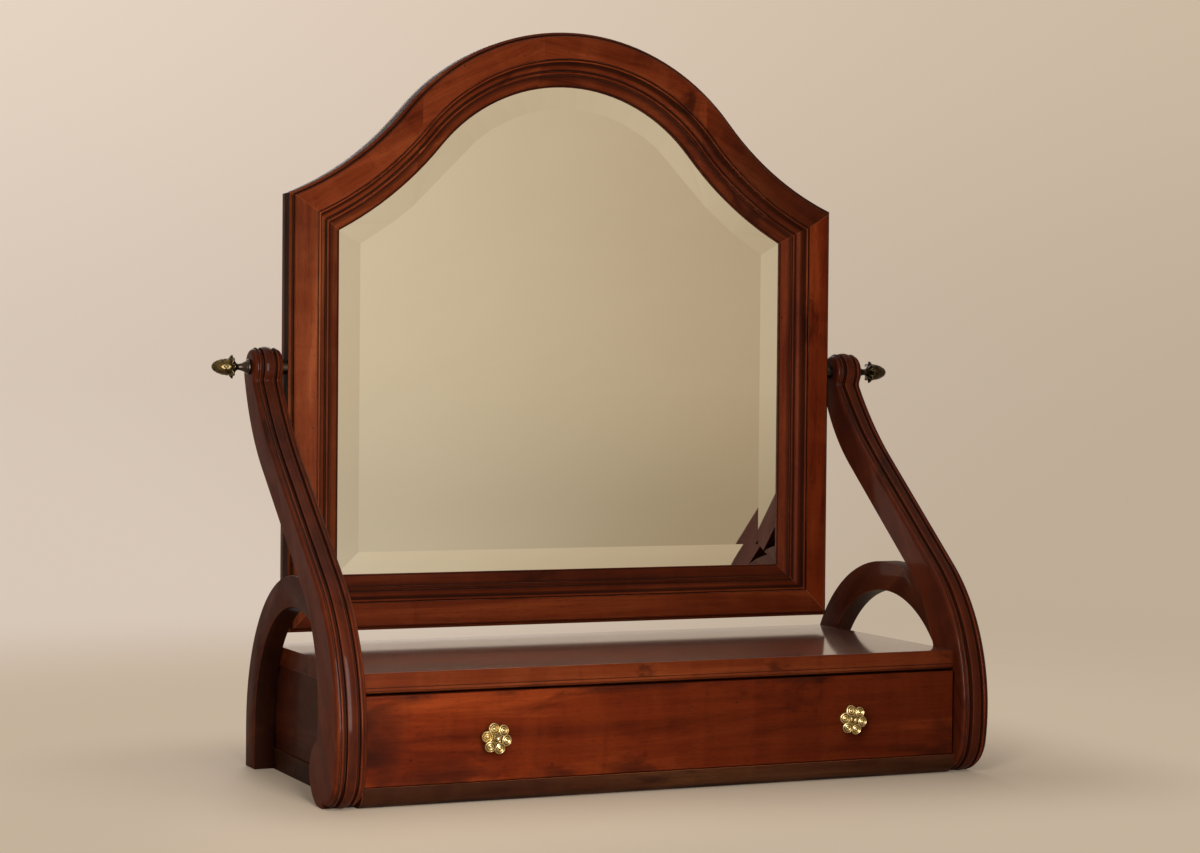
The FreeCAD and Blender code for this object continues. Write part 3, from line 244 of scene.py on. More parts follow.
tintsAndLight = {
    # node: how much of the stain's red, green and blue it keeps, which also paints light: paler where a piece
    # is lit, redder where shaded, and the base board greyed by the floor's sheen
    "left_stile": (1.06, 1.30, 1.65), "right_stile": (1.0, 0.82, 0.76), "top_rail": (1.10, 1.14, 1.30),
    "bottom_rail": (1.0, 0.88, 0.82), "drawer_front": (1.0, 0.76, 0.60), "left_arm": (1.0, 0.84, 0.72),
    "right_arm": (1.0, 0.80, 0.66), "base_board": (0.90, 1.50, 2.00),
}
satin = {"Specular IOR Level": 0.03, "Coat Weight": 0.015, "Coat Roughness": 0.14}
waxed = {"Specular IOR Level": 0.04, "Coat Weight": 0.06, "Coat Roughness": 0.10}
polished = {"Specular IOR Level": 0.5, "Coat Weight": 1.0, "Coat Roughness": 0.10}
armGlaze = {
    # mm from the middle of the part to the middle of an arm's front edge
    "middle": 323,
    # dark glaze on the mouldings of that edge: mm out from its middle, share of glaze
    "stops": [(0, 0.0), (4.2, 0.0), (4.5, 0.97), (7.9, 0.97), (8.2, 0.0), (9.7, 0.0), (9.9, 0.96),
              (11.6, 0.96), (11.9, 0.0), (15, 0.0)],
    # how much lighter the beads beside the dark lines are, in the same way: rubbed wear and painted highlight
    # lines
    "beads": [(0, 0.0), (3.0, 0.0), (4.0, 0.25), (4.4, 0.0), (8.0, 0.0), (8.3, 0.45), (9.6, 0.45), (9.9, 0.0),
              (11.8, 0.0), (12.1, 0.26), (13.5, 0.26), (14.2, 0.0), (15, 0.0)],
    # a face of the moulding spans less than this across the arm
    "widest": 4.2,
}
lyre = {
    # the arms and legs: where a face counts as moulded edge or flat side, and the wax on each
    "edge": 0.80, "side": 0.98, "edgeWax": 0.10, "sideWax": 0.01,
    # painted light and shade on the arms' flat sides: their darkening, set against the moulded edge by which
    # way a face looks
    "armSideShade": {"left_arm": 0.26, "right_arm": 0.68},
    # painted shade under the arch of a leg: the way that its faces look, from which share of that on, how
    # much
    "archFacing": (0, -0.7, -0.7), "archFrom": 0.3, "archFull": 0.6, "archShade": 0.92,
}
frameMembers = ("left_stile", "right_stile", "bottom_rail", "top_rail")
frameGlaze = {
    # the outline of the mirror frame's face, in mm in the XZ plane
    "half": 297, "bottom": 140, "crown": (0, 508), "crownRadius": 230,
    "corner": (297, 565.5), "shoulderRadius": 312,
    # dark glaze in its mouldings: mm in from that outline, share of glaze
    "stops": [(-9, 0.96), (-3.9, 0.96), (-3.7, 0.10), (-2.1, 0.10), (-1.9, 0.88), (0.0, 0.88), (0.3, 0.0),
              (23.0, 0.0), (23.3, 0.94), (24.9, 0.94), (25.2, 0.0), (26.4, 0.0), (26.7, 0.94), (27.9, 0.92),
              (29.6, 0.72), (30.6, 0.20), (33.2, 0.20), (33.8, 0.95), (36.0, 0.95), (36.3, 0.05),
              (37.7, 0.05), (38.0, 0.92), (39.4, 0.90), (42.5, 0.58), (45.0, 0.22), (47.5, 0.22),
              (48.8, 0.55), (49.4, 0.92), (53, 0.92)],
    # the plain back of the frame has none
    "front": 125, "back": 130,
    # how far in the mouldings begin, and how dark each member's are all over
    "mouldings": (27, 33), "darkest": {"left_stile": 0.30, "right_stile": 0.45, "bottom_rail": 0.68},
}
drawerShade = {
    # patchy darkening along the edges of the drawer front, where the top board, base and arms meet it: glaze
    # and painted shade; how far in it reaches
    "ends": 0.075, "below": 0.040, "above": 0.016,
    # its smallest and largest share, and how often the patches repeat in a metre
    "least": 0.20, "share": 0.80, "patches": (16, 30, 34),
}


def glazeRamp(tree, stops, value):
    # share of glaze at a distance that runs through the stops
    first, last = stops[0][0], stops[-1][0]
    spread = addNode(tree, "ShaderNodeMapRange", {"Value": value, "From Min": first * mm,
                                                  "From Max": last * mm}).outputs[0]
    ramp = addNode(tree, "ShaderNodeValToRGB", {"Fac": spread})
    elements = ramp.color_ramp.elements
    elements.remove(elements[1])
    elements[0].position = 0.0
    elements[0].color = rgb(stops[0][1], stops[0][1], stops[0][1])
    for inset, share in stops[1:]:
        elements.new((inset - first) / (last - first)).color = rgb(share, share, share)
    return ramp.outputs["Color"]


def onFront(tree, depth):
    return rise(tree, depth, frameGlaze["front"] * mm, frameGlaze["back"] * mm, 1.0, 0.0)


def makeMouldingGlaze():
    ins = [("Inset", "Float"), ("Depth", "Float")]
    tree, given, puts = newGroup("mouldingGlaze", ins, [("Share", "Float")])
    lines = glazeRamp(tree, frameGlaze["stops"], given["Inset"])
    tree.links.new(maths(tree, "MULTIPLY", lines, onFront(tree, given["Depth"])), puts["Share"])
    return tree


mouldingGlaze = makeMouldingGlaze()


def shoulderCentre():
    # the middle of the hollow shoulder, which passes through the corner and touches the crown
    crown = Vector(frameGlaze["crown"])
    corner = Vector(frameGlaze["corner"])
    reach = frameGlaze["crownRadius"] + frameGlaze["shoulderRadius"]
    between = corner - crown
    ahead = (reach ** 2 - frameGlaze["shoulderRadius"] ** 2 + between.length_squared) / (2 * between.length)
    off = math.sqrt(reach ** 2 - ahead ** 2)
    way = between.normalized()
    return crown + way * ahead + Vector((-way.y, way.x)) * off


def frameInset(tree, node, axes):
    # how far a spot lies in from the outline of the frame's face
    across = unsigned(tree, axes[0])
    if node.endswith("stile"):
        return maths(tree, "SUBTRACT", frameGlaze["half"] * mm, across)
    if node == "bottom_rail":
        return maths(tree, "SUBTRACT", axes[2], frameGlaze["bottom"] * mm)
    crown = Vector(frameGlaze["crown"]) * mm
    hollow = shoulderCentre() * mm
    spot = addNode(tree, "ShaderNodeCombineXYZ", {0: across, 1: axes[2]}).outputs[0]
    fromCrown = vectors(tree, "DISTANCE", spot, (*crown, 0), "Value")
    fromHollow = vectors(tree, "DISTANCE", spot, (*hollow, 0), "Value")
    inCrown = maths(tree, "SUBTRACT", frameGlaze["crownRadius"] * mm, fromCrown)
    inShoulder = maths(tree, "SUBTRACT", fromHollow, frameGlaze["shoulderRadius"] * mm)
    # the crown ends on the line through the two centres
    outward = vectors(tree, "SUBTRACT", spot, (*crown, 0))
    past = vectors(tree, "DOT_PRODUCT", outward, (crown.y - hollow.y, hollow.x - crown.x, 0), "Value")
    onCrown = maths(tree, "GREATER_THAN", past, 0.0)
    chosen = addNode(tree, "ShaderNodeMix", {0: onCrown, 2: inShoulder, 3: inCrown}, data_type="FLOAT")
    return chosen.outputs[0]


def memberGlaze(tree, node, axes, dark):
    # the dark lines in a member's mouldings, and its darkening, which grows over the mouldings
    inset = frameInset(tree, node, axes)
    lines = useGroup(tree, mouldingGlaze, {"Inset": inset, "Depth": axes[1]})["Share"]
    begin, end = frameGlaze["mouldings"]
    sunk = rise(tree, inset, begin * mm, end * mm, 0.0, frameGlaze["darkest"].get(node, 0.0))
    sunk = maths(tree, "MULTIPLY", sunk, onFront(tree, axes[1]))
    return lines, maths(tree, "MAXIMUM", dark, sunk)


def edgeShade(tree, place, axes):
    low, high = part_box("drawer_front")
    sides = [(axes[0], low.x, drawerShade["ends"]), (axes[0], high.x, -drawerShade["ends"]),
             (axes[2], low.z, drawerShade["below"]), (axes[2], high.z, -drawerShade["above"])]
    shade = 0.0
    for axis, edge, reach in sides:
        shade = maths(tree, "MAXIMUM", rise(tree, axis, edge, edge + reach, 1.0, 0.0), shade)
    patches = cloud(tree, place, drawerShade["patches"], 3.0, 0.55, 0.5)
    patchy = rise(tree, patches, 0.34, 0.66, drawerShade["least"], drawerShade["share"])
    return maths(tree, "MULTIPLY", shade, patchy)


def stainedWood(name, node, turn, offset, dark=0.0, finish=satin):
    material, tree = newMaterial(name)
    place = objectPlace(tree)
    axes = axesOf(tree, place)
    if isinstance(dark, tuple):
        dark = rise(tree, axes[0], *dark)
    if node in frameMembers:
        glaze, dark = memberGlaze(tree, node, axes, dark)
    else:
        glaze = painted(tree)
    # glaze and painted shade along the edges of the drawer front
    if node == "drawer_front":
        dark = maths(tree, "MAXIMUM", dark, edgeShade(tree, place, axes))
    if node.endswith(("arm", "leg")):
        facing = addNode(tree, "ShaderNodeTexCoord").outputs["Normal"]
        across = unsigned(tree, axesOf(tree, facing)[0])
        wax = rise(tree, across, lyre["edge"], lyre["side"], lyre["edgeWax"], lyre["sideWax"])
        finish = {**finish, "Coat Weight": wax}
    if node.endswith("arm"):
        reach = maths(tree, "SUBTRACT", unsigned(tree, axes[0]), armGlaze["middle"] * mm)
        reach = unsigned(tree, reach)
        # the beads are lighter: rubbed wear and painted highlight lines
        rubbedAndLit = maths(tree, "MULTIPLY", glaze, glazeRamp(tree, armGlaze["beads"], reach))
        glaze = maths(tree, "MULTIPLY", glaze, glazeRamp(tree, armGlaze["stops"], reach))
        # the darkening follows which way the face looks: painted light and shade
        dark = rise(tree, across, lyre["edge"], lyre["side"], dark, lyre["armSideShade"][node])
        dark = maths(tree, "MULTIPLY", dark, maths(tree, "SUBTRACT", 1.0, rubbedAndLit))
    elif node.endswith("leg"):
        # faces turned forward and down under the arch go dark: painted shade
        under = vectors(tree, "DOT_PRODUCT", facing, lyre["archFacing"], "Value")
        dark = rise(tree, under, lyre["archFrom"], lyre["archFull"], dark, lyre["archShade"])
    grain = useGroup(tree, stainedGrain, {"Vector": along(tree, turn, offset), "Glaze": glaze, "Dark": dark,
                                          "Tint": rgb(*tintsAndLight.get(node, (1, 1, 1)))})
    coated(tree, {"Base Color": grain["Color"], "Roughness": grain["Roughness"],
                  "Normal": raised(tree, grain["Height"], 0.15 * mm, 0.5), **finish})
    return material


bare = {
    # pale hardwood of the drawer box
    "deep": rgb(0.33, 0.205, 0.105), "light": rgb(0.56, 0.39, 0.22), "line": rgb(0.25, 0.145, 0.07),
    "hollowShade": rgb(0.13, 0.075, 0.04), "figure": (2.4, 34, 34), "lines": (10, 520, 520),
}


def bareWood(name, turn, offset):
    material, tree = newMaterial(name)
    place = along(tree, turn, offset)
    figure = cloud(tree, place, bare["figure"], 5.0, 0.6, 0.6)
    lines = cloud(tree, place, bare["lines"], 3.0, 0.6)
    tone = mixColour(tree, rise(tree, figure, 0.32, 0.68), bare["deep"], bare["light"])
    tone = mixColour(tree, rise(tree, lines, 0.34, 0.60, 0.5, 0.0), tone, bare["line"])
    wear = useGroup(tree, wearShadeHighlight, {"Reach": 8 * mm, "Edge": 1 * mm})
    # darker in the hollows and inside corners that ambient occlusion finds: painted shade
    tone = mixColour(tree, maths(tree, "MULTIPLY", wear["Hollow"], 0.55), tone, bare["hollowShade"])
    coated(tree, {"Base Color": tone, "Roughness": rise(tree, figure, 0.3, 0.7, 0.55, 0.68),
                  "Normal": raised(tree, lines, 0.12 * mm, 0.5), "Specular IOR Level": 0.35})
    return material


pressed = {
    # brown board pressed from fibre
    "deep": rgb(0.145, 0.078, 0.040), "light": rgb(0.235, 0.135, 0.072), "stain": rgb(0.105, 0.057, 0.030),
    "hollowShade": rgb(0.055, 0.032, 0.019), "fibre": (420, 420, 420), "stains": (6, 6, 6),
}


def sheetBoard(name):
    material, tree = newMaterial(name)
    place = along(tree, (0, 0, 0), (0.3, 0.1, 0.7))
    fibre = cloud(tree, place, pressed["fibre"], 4.0, 0.65, 0.6)
    stains = cloud(tree, place, pressed["stains"], 4.0, 0.6, 0.5)
    tone = mixColour(tree, rise(tree, fibre, 0.34, 0.66), pressed["deep"], pressed["light"])
    tone = mixColour(tree, rise(tree, stains, 0.50, 0.72, 0.0, 0.5), tone, pressed["stain"])
    wear = useGroup(tree, wearShadeHighlight, {"Reach": 12 * mm, "Edge": 0.8 * mm})
    # darker in the hollows and inside corners that ambient occlusion finds: painted shade
    tone = mixColour(tree, maths(tree, "MULTIPLY", wear["Hollow"], 0.6), tone, pressed["hollowShade"])
    coated(tree, {"Base Color": tone, "Roughness": rise(tree, fibre, 0.3, 0.7, 0.58, 0.72),
                  "Normal": raised(tree, fibre, 0.1 * mm, 0.45), "Specular IOR Level": 0.3})
    return material


silvered = {
    "clear": rgb(0.885, 0.872, 0.795), "hazed": rgb(0.872, 0.858, 0.778), "wiping": (5, 5, 14),
    # how far the bevel bends the picture, and the degrees past which an edge stays crisp
    "bend": 0.42, "crisp": 2,
}


def silveredGlass():
    # silvered plate, very slightly hazed by wiping
    material, tree = newMaterial("silvered_glass")
    place = along(tree, (0, 20, 0), (0.2, 0.0, 0.4))
    wiped = cloud(tree, place, silvered["wiping"], 4.0, 0.6, 1.2)
    tone = mixColour(tree, rise(tree, wiped, 0.3, 0.7), silvered["clear"], silvered["hazed"])
    # the bevel is ground on the front and the silver lies behind it, so it bends the picture inwards
    ground = addNode(tree, "ShaderNodeNewGeometry").outputs["True Normal"]
    ahead = addNode(tree, "ShaderNodeVectorTransform", {0: (0, -1, 0)}, vector_type="NORMAL",
                    convert_from="OBJECT", convert_to="WORLD").outputs[0]
    near = scaled(tree, ahead, 1.0 + silvered["bend"])
    tilt = scaled(tree, ground, silvered["bend"])
    bent = vectors(tree, "NORMALIZE", vectors(tree, "SUBTRACT", near, tilt))
    coated(tree, {"Base Color": tone, "Roughness": rise(tree, wiped, 0.35, 0.75, 0.012, 0.035),
                  "Metallic": 1.0, "Normal": bent})
    return material


brasses = {
    # name: bright, tarnish, share of tarnish, place of the mottling, colour of the rubbed spots
    "knob_brass": (rgb(0.76, 0.60, 0.30), rgb(0.34, 0.245, 0.105), 0.8, (0.11, 0.02, 0.31),
                   rgb(0.80, 0.66, 0.36)),
    "acorn_brass": (rgb(0.135, 0.098, 0.043), rgb(0.020, 0.015, 0.009), 1.0, (0.41, 0.22, 0.13),
                    rgb(0.50, 0.40, 0.20)),
    # a darker copy of the acorn brass for the right acorn, which stands in shade: painted shade
    "shaded_acorn_brass": (rgb(0.060, 0.044, 0.022), rgb(0.014, 0.011, 0.007), 1.0, (0.66, 0.31, 0.52),
                         rgb(0.22, 0.17, 0.09)),
    "dark_bronze": (rgb(0.065, 0.050, 0.038), rgb(0.028, 0.022, 0.018), 0.9, (0.21, 0.52, 0.33),
                    rgb(0.14, 0.11, 0.08)),
}
brassGrime = rgb(0.022, 0.016, 0.010)


def agedBrass(name):
    # cast brass, rubbed bright on its high spots and dark where polish never reaches
    bright, tarnish, amount, offset, rubbedAndLit = brasses[name]
    material, tree = newMaterial(name)
    place = along(tree, (0, 0, 0), offset)
    mottle = cloud(tree, place, (260, 260, 260), 4.0, 0.6, 0.5)
    fine = cloud(tree, place, (1500, 1500, 1500), 2.0, 0.5)
    wear = useGroup(tree, wearShadeHighlight, {"Reach": 2.2 * mm, "Edge": 0.4 * mm})
    tone = mixColour(tree, rise(tree, mottle, 0.38, 0.68, 0.0, amount), bright, tarnish)
    dirty = maths(tree, "MAXIMUM", maths(tree, "MULTIPLY", wear["Hollow"], 0.95), painted(tree))
    tone = mixColour(tree, dirty, tone, brassGrime)
    tone = mixColour(tree, maths(tree, "MULTIPLY", wear["RubbedAndLit"], 0.55), tone, rubbedAndLit)
    rough = maths(tree, "ADD", rise(tree, mottle, 0.3, 0.7, 0.24, 0.40), maths(tree, "MULTIPLY", dirty, 0.25))
    coated(tree, {"Base Color": tone, "Roughness": rough, "Metallic": 1.0,
                  "Normal": raised(tree, fine, 0.05 * mm, 0.4)})
    return material


plated = {"bright": rgb(0.56, 0.55, 0.52), "dull": rgb(0.40, 0.39, 0.36), "hollowShade": rgb(0.06, 0.055, 0.05)}


def platedSteel():
    material, tree = newMaterial("plated_steel")
    place = along(tree, (0, 0, 0), (0.1, 0.2, 0.3))
    mottle = cloud(tree, place, (420, 420, 420), 3.0, 0.6)
    wear = useGroup(tree, wearShadeHighlight, {"Reach": 1.5 * mm, "Edge": 0.3 * mm})
    tone = mixColour(tree, rise(tree, mottle, 0.35, 0.7), plated["bright"], plated["dull"])
    # darker in the slots and hollows that ambient occlusion finds: painted shade
    tone = mixColour(tree, maths(tree, "MULTIPLY", wear["Hollow"], 0.8), tone, plated["hollowShade"])
    coated(tree, {"Base Color": tone, "Roughness": rise(tree, mottle, 0.3, 0.7, 0.28, 0.42), "Metallic": 1.0})
    return material


mirrorSilver = silveredGlass()
backingBoard = sheetBoard("pressed_board")
knobBrass, acornBrass, shadedAcornBrass, darkBronze = [agedBrass(name) for name in brasses]
screwSteel = platedSteel()
print("materials built")


# pieces that keep the shape of their CAD node, merged, softened and smoothed

softEdges = {
    # the degrees and the length in mm from which a sharp edge is rounded, and how wide
    "angle": 50, "least": 3, "width": 0.8,
}
crispAngle = 32  # degrees past which an edge of wood or metal stays crisp
cutTolerance = 0.001 * mm


def mergedCopy(node):
    bm = bmesh.new()
    bm.from_mesh(cadNodes[node].data)
    bmesh.ops.remove_doubles(bm, verts=bm.verts, dist=0.004 * mm)
    bmesh.ops.dissolve_limit(bm, angle_limit=math.radians(0.4), verts=bm.verts, edges=bm.edges)
    return bm


def soften(bm):
    # rounds the straight sharp edges that are long enough to show
    chosen = [e for e in bm.edges if e.is_manifold and e.calc_length() > softEdges["least"] * mm
              and e.calc_face_angle(0.0) > math.radians(softEdges["angle"])]
    bmesh.ops.bevel(bm, geom=chosen, offset=softEdges["width"] * mm, offset_type="OFFSET", segments=2,
                    profile=0.5, affect="EDGES", clamp_overlap=True, material=-1)


def smoothByAngle(bm, angle=crispAngle):
    for face in bm.faces:
        face.smooth = True
    for edge in bm.edges:
        edge.smooth = edge.is_manifold and edge.calc_face_angle(0.0) < math.radians(angle)


def cutAcross(bm, place, normal):
    bmesh.ops.bisect_plane(bm, geom=bm.verts[:] + bm.edges[:] + bm.faces[:], dist=cutTolerance,
                           plane_co=place, plane_no=normal)


def finished(bm, name, body, materials, node):
    mesh = bpy.data.meshes.new(name)
    bm.to_mesh(mesh)
    bm.free()
    if "custom_normal" in mesh.attributes:
        mesh.attributes.remove(mesh.attributes["custom_normal"])
    for material in materials:
        mesh.materials.append(material)
    piece = bpy.data.objects.new(name, mesh)
    scene.collection.objects.link(piece)
    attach(piece, body)
    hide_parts(node)


joinery = {
    # node: body, turn of the grain, place in the plank, darkening or its start, end and shares along X,
    # whether its edges are softened; the drawer front's darkening towards the right is painted shade
    "left_arm": ("stand", (-60, 0, -90), (0.13, 0.40, 0.72), 0.72, False),
    "right_arm": ("stand", (-60, 0, -90), (0.83, 0.15, 0.24), 0.72, False),
    "left_rear_leg": ("stand", (33, 0, -90), (0.37, 0.61, 0.18), 0.52, True),
    "right_rear_leg": ("stand", (33, 0, -90), (0.58, 0.93, 0.47), 0.80, True),
    "top_board": ("stand", (0, 0, 0), (0.22, 0.71, 0.36), 0.34, False),
    "base_board": ("stand", (0, 0, 0), (0.67, 0.28, 0.85), 0.76, False),
    "left_case_side": ("stand", (0, 0, -90), (0.45, 0.12, 0.53), 0.66, False),
    "right_case_side": ("stand", (0, 0, -90), (0.19, 0.83, 0.64), 0.66, False),
    # the drawer front darkens towards the right: painted shade
    "drawer_front": ("drawer", (0, 0, 0), (0.91, 0.34, 0.42), (-0.30, 0.10, 0.24, 0.47), False),
    "left_stile": ("mirror", (0, 90, 0), (0.31, 0.55, 0.90), 0.0, False),
    "right_stile": ("mirror", (0, 90, 0), (0.74, 0.25, 0.41), 0.12, False),
    "bottom_rail": ("mirror", (0, 0, 0), (0.52, 0.87, 0.16), 0.44, False),
}
topLines = {
    # two fine dark lines along the front edge of the top board: low and high in mm
    "strips": [(106.0, 106.8), (109.0, 109.9)], "share": 0.85,
}


def glazeFace(face, layer, share):
    for loop in face.loops:
        loop[layer] = share


def glazeArm(bm):
    # marks the narrow faces of the moulded front edge
    layer = bm.loops.layers.float.new("glaze")
    for face in bm.faces:
        reach = [abs(abs(v.co.x) / mm - armGlaze["middle"]) for v in face.verts]
        if max(reach) - min(reach) < armGlaze["widest"]:
            glazeFace(face, layer, 1.0)


def lineTopEdge(bm):
    # draws the two lines on the front edge, and gives the upper face the second material
    layer = bm.loops.layers.float.new("glaze")
    for pair in topLines["strips"]:
        for height in pair:
            cutAcross(bm, (0, 0, height * mm), (0, 0, 1))
    for face in bm.faces:
        height = face.calc_center_median().z / mm
        if face.normal.y < -0.5 and any(low < height < high for low, high in topLines["strips"]):
            glazeFace(face, layer, topLines["share"])
        if face.normal.z > 0.9:
            face.material_index = 1


for node, (body, turn, offset, dark, softened) in joinery.items():
    bm = mergedCopy(node)
    if softened:
        soften(bm)
    if node.endswith("arm"):
        glazeArm(bm)
    elif node == "top_board":
        lineTopEdge(bm)
    smoothByAngle(bm)
    finish = waxed if body == "stand" else satin
    woods = [stainedWood(node + "_stain", node, turn, offset, dark, finish)]
    if node == "top_board":
        woods.append(stainedWood(node + "_polish", node, turn, offset, dark, polished))
    finished(bm, node + "_wood", body, woods, node)
print("joinery dressed")

topRail = [
    # the arch is glued up from four lengths: where each starts along X, the slope of its grain, darkening,
    # place in the plank
    (-1.0, 31, 0.0, (0.12, 0.33, 0.51)),
    (-0.165, 27, 0.0, (0.77, 0.08, 0.29)),
    (-0.034, -9, 0.0, (0.44, 0.69, 0.93)),
    (0.150, -31, (0.14, 0.20, 0.04, 0.55), (0.28, 0.17, 0.62)),
]


def dressTopRail():
    bm = mergedCopy("top_rail")
    starts = [length[0] for length in topRail]
    for start in starts[1:]:
        cutAcross(bm, (start, 0, 0), (1, 0, 0))
    for face in bm.faces:
        middle = face.calc_center_median().x
        face.material_index = max(i for i, start in enumerate(starts) if middle >= start)
    smoothByAngle(bm)
    woods = [stainedWood("top_rail_stain_%d" % i, "top_rail", (0, slope, 0), offset, dark)
             for i, (start, slope, dark, offset) in enumerate(topRail)]
    finished(bm, "top_rail_wood", "mirror", woods, "top_rail")


dressTopRail()


def dress(node, name, body, material, softened=False, angle=crispAngle):
    bm = mergedCopy(node)
    if softened:
        soften(bm)
    smoothByAngle(bm, angle)
    finished(bm, name, body, [material], node)


drawerBox = {
    # node: turn of the grain, place in the plank
    "drawer_left_side": ((0, 0, -90), (0.2, 0.5, 0.1)),
    "drawer_right_side": ((0, 0, -90), (0.6, 0.3, 0.8)),
    "drawer_back": ((0, 0, 0), (0.4, 0.9, 0.3)),
}
for node, (turn, offset) in drawerBox.items():
    dress(node, node + "_wood", "drawer", bareWood(node + "_bare", turn, offset), softened=True)

pegWood = bareWood("peg_bare", (0, 0, 0), (0.7, 0.2, 0.6))
for node in ("lyre_dowels", "leg_dowels"):
    dress(node, node + "_pegs", "stand", pegWood)

boards = {"case_back": "stand", "drawer_bottom": "drawer", "back_board": "mirror"}
for node, body in boards.items():
    dress(node, node + "_sheet", body, backingBoard)

metal = {
    # node: body, material, slot
    "left_spacer": ("stand", darkBronze, "brass"), "right_spacer": ("stand", darkBronze, "brass"),
    "left_pivot_insert": ("mirror", knobBrass, "brass"), "right_pivot_insert": ("mirror", knobBrass, "brass"),
    "left_pivot_screw": ("left_thumb_screw", screwSteel, "steel"),
    "right_pivot_screw": ("right_thumb_screw", screwSteel, "steel"),
    "case_screws": ("stand", screwSteel, "steel"), "knob_screws": ("drawer", screwSteel, "steel"),
}
for node, (body, material, slot) in metal.items():
    dress(node, node + "_metal", body, material)

# the small angle keeps the shallow bevel crisp
dress("mirror_glass", "mirror_plate", "mirror", mirrorSilver, angle=silvered["crisp"])
print("boards, glass and fittings dressed")


# turned and cast pieces

def turned(bm, points, steps):
    # spins a profile of (radius, height) points about Z
    ring = [bm.verts.new((radius * mm, 0, height * mm)) for radius, height in points]
    edges = [bm.edges.new(pair) for pair in zip(ring, ring[1:])]
    bmesh.ops.spin(bm, geom=ring + edges, cent=(0, 0, 0), axis=(0, 0, 1), angle=2 * math.pi,
                   steps=steps, use_merge=True, dvec=(0, 0, 0))


def cleanTurning(bm):
    bmesh.ops.remove_doubles(bm, verts=bm.verts, dist=0.002 * mm)
    bmesh.ops.recalc_face_normals(bm, faces=bm.faces)


def closeEnds(bm):
    # closes the ends that are hidden in or against other pieces, so that the whole shell faces outwards
    bmesh.ops.holes_fill(bm, edges=[e for e in bm.edges if e.is_boundary], sides=0)
    bmesh.ops.recalc_face_normals(bm, faces=bm.faces)


def joinInto(whole, part):
    loose = bpy.data.meshes.new("loose")
    part.to_mesh(loose)
    part.free()
    whole.from_mesh(loose)
    bpy.data.meshes.remove(loose)


flowerKnob = {
    "across": 0.185, "petals": 6, "petalRing": 9.4, "first": 108,
    # a petal leans by this many degrees about this height
    "tilt": 13, "tiltHeight": 16,
    "petal": [(0, 18.0), (0.7, 17.9), (1.2, 17.5), (1.6, 17.0), (2.0, 17.4), (2.5, 17.8), (3.0, 17.6),
              (3.4, 17.0), (3.7, 16.6), (4.0, 17.0), (4.5, 17.5), (5.0, 17.3), (5.4, 16.5), (5.5, 15.5),
              (5.1, 14.2), (4.2, 13.4), (2.2, 12.8), (0, 12.6)],
    # rings of grime on a petal: inner and outer radius, share
    "grooves": [(1.5, 1.7, 0.75), (3.6, 3.8, 0.85), (5.05, 6.0, 0.70)],
    "stem": [(2.1, 0), (5.7, 0), (6.0, 0.4), (6.0, 1.5), (5.6, 2.0), (4.8, 2.8), (4.4, 4.0), (4.3, 9.0),
             (4.7, 11.0), (6.2, 12.6), (6.6, 14.0), (6.4, 15.6), (5.4, 16.3), (4.2, 16.0), (3.4, 15.7),
             (2.5, 16.3), (1.5, 17.6), (1.5, 18.4), (2.1, 19.2), (2.4, 20.2), (2.1, 21.2), (1.2, 21.9),
             (0, 22.0)],
    "petalSteps": 32, "stemSteps": 40, "crisp": 50,
}


def grooveAt(radius):
    for low, high, share in flowerKnob["grooves"]:
        if low <= radius < high:
            return share
    return 0.0


def castPetal(index):
    petal = bmesh.new()
    turned(petal, flowerKnob["petal"], flowerKnob["petalSteps"])
    cleanTurning(petal)
    layer = petal.loops.layers.float.new("glaze")
    for face in petal.faces:
        for loop in face.loops:
            loop[layer] = grooveAt(math.hypot(loop.vert.co.x, loop.vert.co.y) / mm)
    lean = Matrix.Rotation(math.radians(flowerKnob["tilt"]), 4, "Y")
    middle = Matrix.Translation((0, 0, flowerKnob["tiltHeight"] * mm))
    out = Matrix.Translation((flowerKnob["petalRing"] * mm, 0, 0))
    spread = math.radians(flowerKnob["first"] + 360 / flowerKnob["petals"] * index)
    place = Matrix.Rotation(spread, 4, "Z") @ out @ middle @ lean @ middle.inverted()
    bmesh.ops.transform(petal, matrix=place, verts=petal.verts)
    return petal


def castKnob(name, node, across):
    bm = bmesh.new()
    bm.loops.layers.float.new("glaze")
    turned(bm, flowerKnob["stem"], flowerKnob["stemSteps"])
    for index in range(flowerKnob["petals"]):
        joinInto(bm, castPetal(index))
    cleanTurning(bm)
    closeEnds(bm)
    low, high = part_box(node)
    stand = Matrix.Translation((across, high.y, (low.z + high.z) / 2)) @ Matrix.Rotation(math.pi / 2, 4, "X")
    bmesh.ops.transform(bm, matrix=stand, verts=bm.verts)
    smoothByAngle(bm, flowerKnob["crisp"])
    finished(bm, name, "drawer", [knobBrass], node)


castKnob("left_flower_knob", "left_knob", -flowerKnob["across"])
castKnob("right_flower_knob", "right_knob", flowerKnob["across"])

